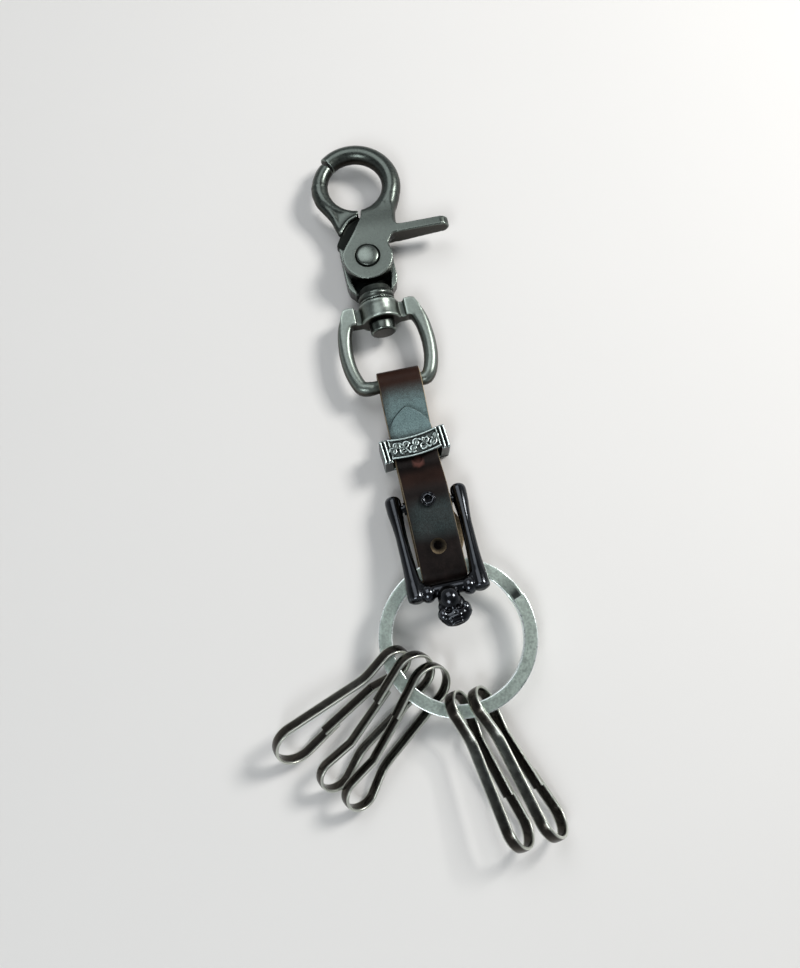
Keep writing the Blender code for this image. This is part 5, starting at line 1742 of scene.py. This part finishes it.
def banner_y(x, offset):
    """A line across the keeper's banner, which sags in its middle."""
    banner = KEEPER_HALF_WIDTH - KEEPER_SIDE_WALL
    return offset - KEEPER_SAG * (1 - (x / banner) ** 2) + KEEPER_SAG * 0.5


def keeper_pattern(bm):
    """Loop with ribbed ends and a sagging banner: two rails and a scrolling vine between them."""
    half, top_z = KEEPER_HALF_WIDTH, KEEPER_TOP_Z
    low_y, high_y = -KEEPER_BREADTH / 2, KEEPER_BREADTH / 2
    rib, line = KEEPER_RIB, KEEPER_LINE
    floor_z = top_z - KEEPER_RELIEF
    banner = half - KEEPER_SIDE_WALL
    block_at(bm, (-half, low_y, 0), (half, high_y, KEEPER_WALL))
    for side in (-1, 1):
        inner, outer = sorted((side * banner, side * half))
        block_at(bm, (inner, low_y, 0), (outer, high_y, floor_z))
        for inset in (rib, rib * 2.2 + KEEPER_RIB_STEP):
            x = side * (half - inset)
            crest = [(x, y, top_z - rib) for y in (low_y + rib, high_y - rib)]
            bar_along(bm, crest, [rib, rib], sides=16)
            block_at(bm, (x - rib, low_y, floor_z - KEEPER_WALL), (x + rib, high_y, top_z - rib * 0.8))

    edge = high_y - KEEPER_SAG * 0.5 - BANNER_INSET
    across = spaced(-half * 0.9, half * 0.9, 31)
    outline = [(x, banner_y(x, edge)) for x in across]
    outline += [(x, banner_y(x, -edge)) for x in reversed(across)]
    plate_at(bm, outline, top_z - KEEPER_WALL, floor_z)
    for offset in (-edge + line, edge - line):
        rail = [(x, banner_y(x, offset), floor_z + line * 0.4) for x in spaced(-banner, banner, 31)]
        bar_along(bm, rail, [line * 1.35] * len(rail), sides=16)
    for x in (-banner + line, banner - line):
        post = [(x, banner_y(x, y), floor_z + line * 0.4) for y in (-edge + line, edge - line)]
        bar_along(bm, post, [line * 1.1] * len(post), sides=16)

    wave = banner * 2 / 5
    reach = edge - VINE_INSET
    vine = []
    for x in spaced(-banner + VINE_END_INSET, banner - VINE_END_INSET, 81):
        offset = reach * 0.8 * math.sin(FULL_TURN * x / (2 * wave))
        vine.append((x, banner_y(x, offset), floor_z + line * 0.5))
    bar_along(bm, vine, [line * 1.25] * len(vine), sides=12)
    for number in range(-2, 3):
        for way in (-1, 1):
            curl_and_leaf(bm, wave * number, way, reach, number)


def curl_and_leaf(bm, centre_x, way, reach, phase):
    """One curl of the keeper's vine with a leaf across from it."""
    floor_z = KEEPER_TOP_Z - KEEPER_RELIEF
    line = KEEPER_LINE
    curl = []
    for turned in spaced(0.3, 2.9, 40):
        size = reach * (0.62 - 0.17 * turned)
        angle = way * CURL_TURN * turned + phase
        x = centre_x + way * CURL_SHIFT + size * math.cos(angle)
        y = banner_y(x, way * reach * 0.36 + size * math.sin(angle))
        curl.append((x, y, floor_z + line * 0.5))
    bar_along(bm, curl, spaced(line * 1.3, line * 0.9, len(curl)), sides=12)
    tip = Vector((centre_x - way * LEAF_SHIFT, banner_y(centre_x, -way * reach * 0.72), floor_z))
    ball_at(bm, tip, LEAF_RADII, Matrix.Rotation(way * 0.6, 4, "Z"), 16)


# Operators

class KEYRING_OT_stage(bpy.types.Operator):
    """Add the floor, the lamps, the world and the camera of the photograph"""

    bl_idname = "key_ring.stage"
    bl_label = "Stage"

    def execute(self, context):
        _, _, stage = settings()
        scene = context.scene
        self.add_floor(stage)
        self.add_lamps(stage)
        self.add_world(scene)
        self.add_camera(scene)
        scene.view_settings.view_transform = "Standard"
        return {"FINISHED"}

    def add_floor(self, stage):
        bm = bmesh.new()
        bmesh.ops.create_grid(bm, x_segments=2, y_segments=2, size=FLOOR_HALF)
        mesh = moved(mesh_of(bm, "studio_floor"), Matrix.Translation((0, 0, -FLOOR_DROP)))
        mesh.materials.append(studio_floor_finish(stage.floor_colour))
        floor = new_piece("studio_floor", mesh)

    def add_lamps(self, stage):
        target = Vector((0, 0, LAMP_TARGET_Z))
        lamps = (
            ("key_lamp", (0.42, 0.16, 0.40), 0.16, stage.key_power, (1.0, 0.98, 0.95)),
            ("top_lamp", (-0.08, 0.36, 0.54), 0.42, stage.fill_power * 0.8, (0.96, 0.98, 1.0)),
            ("front_lamp", (-0.20, -0.34, 0.50), 0.24, stage.fill_power * 0.95, (0.94, 0.98, 1.0)),
        )
        for name, place, size, power, colour in lamps:
            lamp = bpy.data.lights.new(name, "AREA")
            lamp.shape = "SQUARE"
            lamp.size = size
            lamp.energy = power
            lamp.color = colour
            holder = bpy.data.objects.new(name, lamp)
            holder.location = place
            holder.rotation_euler = (target - Vector(place)).to_track_quat("-Z", "Y").to_euler()
            bpy.context.scene.collection.objects.link(holder)

    def add_world(self, scene):
        world = bpy.data.worlds.new("studio_world")
        world.use_nodes = True
        tree = world.node_tree
        tree.nodes.clear()
        place = add_node(tree, "ShaderNodeTexCoord", output="Generated")
        height = add_node(tree, "ShaderNodeSeparateXYZ", {}, {0: place}, output="Z")
        smooth = {"interpolation_type": "SMOOTHSTEP"}
        values = {"Value": height, "From Min": 0.0, "From Max": 0.75}
        share = add_node(tree, "ShaderNodeMapRange", smooth, values)
        values = {0: share, 6: SKY_LOW_COLOUR, 7: SKY_HIGH_COLOUR}
        colour = add_node(tree, "ShaderNodeMix", {"data_type": "RGBA"}, values, output=2)
        background = add_node(tree, "ShaderNodeBackground", {}, {"Color": colour, "Strength": 1.0})
        end = tree.nodes.new("ShaderNodeOutputWorld")
        tree.links.new(background.output, end.inputs["Surface"])
        scene.world = world

    def add_camera(self, scene):
        """The chain leans in the picture, and the camera tilts a little off the vertical."""
        right = Vector((math.cos(CHAIN_LEAN), -math.sin(CHAIN_LEAN), 0))
        up = Vector((math.sin(CHAIN_LEAN), math.cos(CHAIN_LEAN), 0))
        cos_tilt, sin_tilt = math.cos(CAMERA_TILT), math.sin(CAMERA_TILT)
        u = (STUD_PIXEL_X - IMAGE_CENTRE_X) / FOCAL_PIXELS
        v = (IMAGE_CENTRE_Y - STUD_PIXEL_Y) / FOCAL_PIXELS
        ray = Vector((u, sin_tilt + v * cos_tilt, v * sin_tilt - cos_tilt))
        seen = ray * ((STUD_HEIGHT - CAMERA_HEIGHT) / ray.z)

        def in_model(vector):
            return Vector((vector.dot(right), vector.dot(up), vector.z))

        camera = bpy.data.objects.new("photo_camera", bpy.data.cameras.new("photo_camera"))
        scene.collection.objects.link(camera)
        offset = in_model(Vector((seen.x, seen.y, 0)))
        camera.location = (STUD.x - offset.x, STUD.y - offset.y, CAMERA_HEIGHT)
        ahead = in_model(Vector((0, sin_tilt, -cos_tilt)))
        above = in_model(Vector((0, cos_tilt, sin_tilt)))
        camera.rotation_euler = Matrix((ahead.cross(above), above, -ahead)).transposed().to_euler()
        camera.data.sensor_fit = "HORIZONTAL"
        camera.data.lens = FOCAL_PIXELS / IMAGE_WIDTH * camera.data.sensor_width
        camera.data.clip_start = NEAR_CLIP
        scene.camera = camera


class KEYRING_OT_strap(bpy.types.Operator):
    """Add the folded leather strap with its punched holes"""

    bl_idname = "key_ring.strap"
    bl_label = "Leather Strap"

    def execute(self, context):
        finish, shape, _ = settings()
        blank = new_piece("folded_strap_blank", strap_mesh())
        above = STUD_TOP_Z * 1.3
        cone_low = RING_Z + LOWER_FOLD_BEND - HALF_LEATHER * 0.6
        rim_z = buckle_surface_z() - HOLE_BEVEL
        cone = ((HOLE_RADIUS * 1.04, above, 0), (HOLE_RADIUS, rim_z, 0))
        cone += ((HOLE_CORE_RADIUS, cone_low, HOLE_SLANT), (HOLE_CORE_RADIUS, RING_Z, HOLE_SLANT))
        second_y, second_z = top_layer_point(HOLE_PITCH)
        heights = (above, second_z + HALF_LEATHER * 0.2)
        second = [(radius, height, 0) for radius, height in zip(KEEPER_HOLE_RADII, heights)]
        through = [(STUD_HOLE_RADIUS, height, 0) for height in (above, BELOW_ALL_Z)]
        tools = [
            punch(blank, "buckle_hole", cone, -HOLE_PITCH, HOLE_RAGGED),
            punch(blank, "keeper_hole", second, second_y, HOLE_RAGGED),
            punch(blank, "stud_hole", through, 0.0),
        ]
        context.view_layer.update()
        mesh = finished(blank, "folded_strap")
        for tool in tools:
            bpy.data.objects.remove(tool)
        mark_leather(mesh)
        moved(mesh, CHAIN)
        leather = oiled_leather("oiled_leather", finish.leather, finish.raw_edge, shape.grain_size)
        add_piece("folded_strap", mesh, leather, "strap", "leather_strap")
        mesh.set_sharp_from_angle(angle=math.radians(50))
        return {"FINISHED"}


class KEYRING_OT_fasteners(bpy.types.Operator):
    """Add the stud and the back screw, and give the shackle's pin its finish"""

    bl_idname = "key_ring.fasteners"
    bl_label = "Stud and Pin"

    def execute(self, context):
        finish, _, _ = settings()
        self.add_stud(polished_nickel("stud_nickel", tinted(finish.black_nickel, 0.75)))
        self.add_back_screw(cast_gunmetal("stud_gunmetal", finish.gunmetal))
        refinish(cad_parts["shackle_pin"], polished_nickel("pin_nickel", finish.black_nickel))
        return {"FINISHED"}

    def add_stud(self, metal):
        """A thin outer lip and a ring with a painted highlight round a deep socket with painted shade.
        """
        low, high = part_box("stud_screw")
        radius = (high[0] - low[0]) / 2
        head = high[2] - STUD_TOP_Z
        foot = low[2] - STUD_TOP_Z
        socket = ((0, 0.12), (0.42, 0.12), (0.50, 0.75), (0.56, 1))
        rim = ((0.66, 1), (0.74, 0.6), (0.84, 0.42), (0.93, 0.6), (1, 0.4), (0.98, 0))
        profile = [(radius * wide, head * up) for wide, up in socket + rim]
        profile += [(SCREW_SHANK_RADIUS, 0), (SCREW_SHANK_RADIUS, foot), (0, foot)]
        bm = bmesh.new()
        place = Matrix.Translation(STUD + Vector((0, 0, STUD_TOP_Z)))
        lathe(bm, rounded_profile(profile, STUD_ROUNDING), place)
        mesh = mesh_of(bm, "stud_head")
        points, _, _ = arrays_of(mesh)
        far = np.hypot(points[:, 0] - STUD.x, points[:, 1] - STUD.y) / radius
        ring = smooth_step(far, 0.50, 0.56) * (1 - smooth_step(far, 0.66, 0.72))
        lip = smooth_step(far, 0.88, 0.93) * (1 - smooth_step(far, 0.97, 1.0))
        # Painted highlight on the ring and lip, painted shade in the socket
        paint(mesh, "wear", ring * 2.2 + 0.25 * lip)
        paint(mesh, "hollow", 1 - smooth_step(far, 0.44, 0.50))
        add_piece("stud_head", mesh, metal, "strap", "stud_screw")

    def add_back_screw(self, metal):
        """A flat slotted head below the strap, on its shank."""
        low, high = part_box("back_screw")
        radius = (high[0] - low[0]) / 2
        length = high[2] - low[2]
        profile = [(0, length), (SCREW_SHANK_RADIUS, length), (SCREW_SHANK_RADIUS, BACK_HEAD)]
        profile += [(radius, BACK_HEAD), (radius, 0), (0, 0)]
        bm = bmesh.new()
        place = Matrix.Translation((STUD.x, STUD.y, low[2]))
        lathe(bm, rounded_profile(profile, BACK_ROUNDING), place)
        reach = Vector((radius * 0.75, BACK_SLOT_HALF, 0))
        slot = Vector((STUD.x, STUD.y, low[2]))
        slot_top = slot + reach + Vector((0, 0, BACK_SLOT_IN))
        block_at(bm, slot - reach - Vector((0, 0, BACK_SLOT_OUT)), slot_top)
        mesh = mesh_of(bm, "back_screw_head")
        paint_wear_and_light(mesh)
        add_piece("back_screw_head", mesh, metal, "strap", "back_screw")


class KEYRING_OT_keeper(bpy.types.Operator):
    """Add the cast keeper with its relief"""

    bl_idname = "key_ring.keeper"
    bl_label = "Keeper"

    def execute(self, context):
        finish, shape, _ = settings()
        bm = bmesh.new()
        keeper_pattern(bm)
        skew = Matrix.Rotation(KEEPER_SKEW, 4, "Z")
        place = Matrix.Translation((0, KEEPER_Y + KEEPER_SHIFT, 0)) @ skew
        bmesh.ops.transform(bm, matrix=CHAIN @ place, verts=bm.verts)
        mesh = cast("cast_keeper", bm, shape.relief_pitch * 0.8, passes=2)
        paint_wear_and_light(mesh, edge_curve=(1800.0, 6500.0), hollow_curve=(900.0, 4200.0), spread=2)
        silver = blackened_silver("keeper_silver", finish.antique_silver)
        add_piece("cast_keeper", mesh, silver, "keeper", "keeper_loop")
        return {"FINISHED"}


class KEYRING_OT_shackle(bpy.types.Operator):
    """Add the shackle's bow with the skull on its crossbar"""

    bl_idname = "key_ring.shackle"
    bl_label = "Shackle"

    def execute(self, context):
        finish, shape, _ = settings()
        bm = bmesh.new()
        bow_pattern(bm)
        skull_pattern(bm)
        in_chain(bm)
        mesh = cast("shackle_casting", bm, shape.relief_pitch * 1.1, passes=8)
        carve_skull(mesh)
        paint_wear_and_light(mesh, edge_curve=(480.0, 1900.0), hollow_curve=(500.0, 2200.0), spread=4)
        mark_skull(mesh)
        nickel = polished_nickel("shackle_nickel", finish.black_nickel)
        add_piece("shackle_casting", mesh, nickel, "bow", "shackle_bow")
        return {"FINISHED"}


class KEYRING_OT_split_ring(bpy.types.Operator):
    """Add the split ring of flat wire"""

    bl_idname = "key_ring.split_ring"
    bl_label = "Split Ring"

    def execute(self, context):
        finish, _, _ = settings()
        outline = section(RING_WIDTH, RING_HEIGHT, RING_CORNER)
        mesh = flat_wire("flat_split_ring", ring_stations(), outline, highlighted_start=True)
        self.mark_crossing(mesh)
        moved(mesh, CHAIN)
        nickel = brushed_ring_nickel("ring_nickel", finish.ring_nickel)
        add_piece("flat_split_ring", mesh, nickel, "ring", "split_ring")
        mesh.set_sharp_from_angle(angle=math.radians(60))
        return {"FINISHED"}

    def mark_crossing(self, mesh):
        """Paints shade where the wire dives below its own cut end."""
        turned = np.degrees(painted(mesh, "along") / RING_RADIUS)
        dive = smooth_step(turned, 360 - RING_DIVE_DEGREES * 0.45, 360 - RING_DIVE_DEGREES * 0.12)
        paint(mesh, "shade", dive * (turned < 360 + RING_DIVE_DEGREES))


class KEYRING_OT_clips(bpy.types.Operator):
    """Add the five spring clips, each a frame and a gate"""

    bl_idname = "key_ring.clips"
    bl_label = "Spring Clips"

    def execute(self, context):
        finish, _, _ = settings()
        steel = bent_spring_steel("clip_steel", finish.spring_steel)
        outline = section(CLIP_BREADTH, CLIP_STRIP, CLIP_CORNER, steps=4, crown=CLIP_CROWN)
        frame_line = eased_corners(clip_frame_line())
        for name, *hanging in CLIP_HANGING_DEGREES:
            matrix = CHAIN @ clip_matrix(*hanging)
            parts = (("frame", frame_line, name), ("gate", clip_gate_line(), name + "_tongue"))
            for part, line, body in parts:
                strip = f"{name}_{part}_strip"
                mesh = flat_wire(strip, strip_stations(line, matrix), outline)
                self.paint_clip_sheen(mesh, 1.0 if name in ("clip_4", "clip_5") else 0.25)
                add_piece(strip, mesh, steel, body, f"{name}_{part}")
                mesh.set_sharp_from_angle(angle=math.radians(60))
        return {"FINISHED"}

    def paint_clip_sheen(self, mesh, strength):
        """Paints a sheen, standing for reflected light, on the upward faces below the waist."""
        _, ways, _ = arrays_of(mesh)
        loop = 2 * CLIP_WAIST_AT + math.pi * CLIP_SMALL_RADIUS - 2 * CLIP_SMALL_RADIUS
        from_waist = np.abs(painted(mesh, "along") - loop - CLIP_LENGTH * 0.22)
        band = 1 - smooth_step(from_waist, SHEEN_FROM_WAIST, CLIP_LENGTH * 0.34)
        paint(mesh, "scuff", strength * band * smooth_step(ways[:, 2], -0.1, 0.3))


class KEYRING_OT_hook(bpy.types.Operator):
    """Add the hook's body, its trigger lever, the rivet and the swivel pin, and give the spring its
    finish
    """

    bl_idname = "key_ring.hook"
    bl_label = "Trigger Hook"

    def execute(self, context):
        finish, shape, _ = settings()
        metal = cast_gunmetal("hook_gunmetal", finish.gunmetal)
        self.add_body(metal, shape)
        self.add_lever(metal, shape)
        self.add_rivet(cast_gunmetal("rivet_gunmetal", tinted(finish.gunmetal, 1.5)))
        self.add_swivel_pin(metal)
        steel = bent_spring_steel("spring_steel", finish.spring_steel)
        refinish(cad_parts["trigger_spring"], steel)
        return {"FINISHED"}

    def add_body(self, metal, shape):
        bm = body_box()
        arm_pattern(bm)
        neck_turning(bm)
        in_chain(bm)
        mesh = cast("hook_casting", bm, shape.cast_pitch, passes=5)
        paint_wear_and_light(mesh, level=0.97)
        self.shade_slot(mesh)
        add_piece("hook_casting", mesh, metal, "hook", "hook_body")

    def shade_slot(self, mesh):
        """Paints shade into the pocket, and into the slot between the fixed arm and the lever's plate.
        """
        points, _, _ = arrays_of(mesh)
        ends = from_rivet(((0.2, 2.1), (-1.05, 0.95)))
        start, end = (np.array(CHAIN @ Vector(place))[:2] for place in ends)
        length = np.linalg.norm(end - start)
        way = (end - start) / length
        local = points[:, :2] - start
        along, beside = local @ way, np.abs(local @ np.array((-way[1], way[0])))
        slot = (along > -SLOT_SHADE_ENDS[0]) & (along < length + SLOT_SHADE_ENDS[1])
        slot &= (beside < SLOT_SHADE_HALF) & (points[:, 2] < PLATE_LOW_Z + SLOT_SHADE_LIFT)
        up = points[:, 1] - STUD.y - NECK_LOW_Y
        across = np.abs(points[:, 0] - STUD.x - BAIL_SEAT_X)
        pocket = (up > NECK_LENGTH * 0.66) & (up < NECK_LENGTH * 2.2)
        pocket &= (across < POCKET_RADIUS * 0.93) & (points[:, 2] > BODY_LOW_Z + BODY_FLOOR * 0.8)
        paint_shade(mesh, np.maximum(slot, pocket * 0.85))

    def add_lever(self, metal, shape):
        bm = bmesh.new()
        plate_at(bm, plate_outline(), PLATE_LOW_Z, PLATE_TOP_Z)
        start, joint = EYE_LEVER_START_DEGREES, EYE_JOINT_DEGREES - EYE_JOINT_GAP_DEGREES
        eye_bar(bm, start, joint, LEVER_ARC_RADIUS, LEVER_ARC_TIP_RADIUS)
        eye_bar(bm, start - 29, start, LEVER_ARC_RADIUS * 0.62, LEVER_ARC_RADIUS)
        lever_side(bm)
        tab_pattern(bm)
        in_chain(bm)
        mesh = cast("lever_casting", bm, shape.cast_pitch, passes=5)
        pressed_down(mesh, plate_ceiling)
        cut = bmesh.new()
        cut.from_mesh(mesh)
        centre, top_z = (STUD.x + BAIL_SEAT_X, STUD.y + RIVET_Y), PLATE_TOP_Z * 2
        sink = round_tool(*centre, COUNTERSINK_RADIUS, PLATE_TOP_Z - COUNTERSINK_DEPTH, top_z)
        cut = carved("lever_casting", cut, sink, round_tool(*centre, RIVET_BORE_RADIUS, 0, top_z))
        cut.to_mesh(mesh)
        cut.free()
        paint_wear_and_light(mesh, level=0.97)
        add_piece("lever_casting", mesh, metal, "lever", "trigger_lever")

    def add_rivet(self, metal):
        """A low dome in its countersink, a shank and a foot."""
        low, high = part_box("trigger_rivet")
        centre = middle("trigger_rivet")
        radius = (high[0] - low[0]) / 2
        head = radius * 0.93
        top = high[2] - low[2]
        profile = []
        for angle in spaced(0, math.pi / 2, 12):
            height = top - RIVET_DOME * (1 - math.cos(angle)) - RIVET_SUNK
            profile.append((head * math.sin(angle), height))
        profile += [(RIVET_SHANK_RADIUS, height), (RIVET_SHANK_RADIUS, RIVET_FOOT)]
        profile += [(radius, RIVET_FOOT), (radius * 0.94, 0), (0, 0)]
        bm = bmesh.new()
        lathe(bm, profile, Matrix.Translation((centre.x, centre.y, low[2])))
        mesh = mesh_of(bm, "rivet_dome")
        points, _, _ = arrays_of(mesh)
        far = np.hypot(points[:, 0] - centre.x, points[:, 1] - centre.y) / radius
        # Painted highlight on the dome's middle, painted shade round its rim
        paint(mesh, "wear", 0.12 * (1 - smooth_step(far, 0.2, 0.9)))
        paint(mesh, "hollow", smooth_step(far, 0.93, 1.0) * 0.6)
        add_piece("rivet_dome", mesh, metal, "hook", "trigger_rivet")
        mesh.set_sharp_from_angle(angle=math.radians(40))

    def add_swivel_pin(self, metal):
        """A chamfered head below the barrel, on a plain shank."""
        low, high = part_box("swivel_pin")
        centre = middle("swivel_pin")
        head_radius = (high[0] - low[0]) / 2
        length = high[1] - low[1]
        profile = [(0, 0), (head_radius * 0.8, 0), (head_radius * 0.97, PIN_CHAMFER)]
        profile += [(head_radius, PIN_HEAD), (SWIVEL_PIN_RADIUS, PIN_HEAD)]
        profile += [(SWIVEL_PIN_RADIUS, length), (0, length)]
        bm = bmesh.new()
        lathe(bm, rounded_profile(profile, PIN_ROUNDING), along_chain((centre.x, low[1], centre.z)))
        mesh = mesh_of(bm, "swivel_stub")
        points, _, _ = arrays_of(mesh)
        far = np.hypot(points[:, 0] - centre.x, points[:, 2] - centre.z) / head_radius
        rim = smooth_step(far, 0.8, 0.92) * (points[:, 1] < low[1] + PIN_RIM)
        # Painted highlight on the head's rim, painted shade on the shank inside the barrel
        paint(mesh, "wear", rim * 0.8)
        paint(mesh, "hollow", points[:, 1] > low[1] + PIN_HEAD * 0.9)
        paint_steep_shade(mesh)
        add_piece("swivel_stub", mesh, metal, "hook", "swivel_pin")
        mesh.set_sharp_from_angle(angle=math.radians(40))


class KEYRING_OT_bail(bpy.types.Operator):
    """Add the swivel bail with its barrel"""

    bl_idname = "key_ring.bail"
    bl_label = "Swivel Bail"

    def execute(self, context):
        finish, shape, _ = settings()
        bm = bmesh.new()
        for side in (-1, 1):
            bail_arm(bm, side)
            bail_shoulder(bm, side)
        barrel_turning(bm)
        bar_half = STRAP_WIDTH / 2 + RUNNING_GAP + BAIL_ARM_WIDTH * 0.5
        bar = [(x, UPPER_FOLD_Y, UPPER_FOLD_Z) for x in spaced(-bar_half, bar_half, 5)]
        bar_along(bm, bar, [BAR_RADIUS] * len(bar))
        in_chain(bm)
        mesh = cast("bail_casting", bm, shape.cast_pitch, passes=4)
        paint_wear_and_light(mesh)
        # The bail's gunmetal is painted twice as light as the hook's, a painted highlight over the
        # whole bail
        metal = cast_gunmetal("bail_gunmetal", tinted(finish.gunmetal, 2.0), dullness=0.07)
        add_piece("bail_casting", mesh, metal, "bail", "swivel_bail")
        return {"FINISHED"}


STEPS = (
    KEYRING_OT_stage,
    KEYRING_OT_strap,
    KEYRING_OT_fasteners,
    KEYRING_OT_keeper,
    KEYRING_OT_shackle,
    KEYRING_OT_split_ring,
    KEYRING_OT_clips,
    KEYRING_OT_hook,
    KEYRING_OT_bail,
)


class KEYRING_PT_panel(bpy.types.Panel):
    """Finishes of the key ring and a button for each piece"""

    bl_idname = "KEYRING_PT_panel"
    bl_label = "Key Ring"
    bl_space_type = "VIEW_3D"
    bl_region_type = "UI"
    bl_category = "Key Ring"

    def draw(self, context):
        scene = context.scene
        for group in (scene.key_ring_finish, scene.key_ring_shape, scene.key_ring_stage):
            column = self.layout.column(align=True)
            for name in group.bl_rna.properties.keys():
                if name not in ("rna_type", "name"):
                    column.prop(group, name)
        for step in STEPS:
            self.layout.operator(step.bl_idname)


CLASSES = (FinishSettings, ShapeSettings, StageSettings, *STEPS, KEYRING_PT_panel)


def register():
    for item in CLASSES:
        bpy.utils.register_class(item)
    bpy.types.Scene.key_ring_finish = PointerProperty(type=FinishSettings)
    bpy.types.Scene.key_ring_shape = PointerProperty(type=ShapeSettings)
    bpy.types.Scene.key_ring_stage = PointerProperty(type=StageSettings)


def unregister():
    del bpy.types.Scene.key_ring_stage
    del bpy.types.Scene.key_ring_shape
    del bpy.types.Scene.key_ring_finish
    for item in reversed(CLASSES):
        bpy.utils.unregister_class(item)


def main():
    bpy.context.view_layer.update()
    register()
    for step in STEPS:
        _, name = step.bl_idname.split(".")
        getattr(bpy.ops.key_ring, name)()
    bpy.context.view_layer.update()


if __name__ == "__main__":
    main()
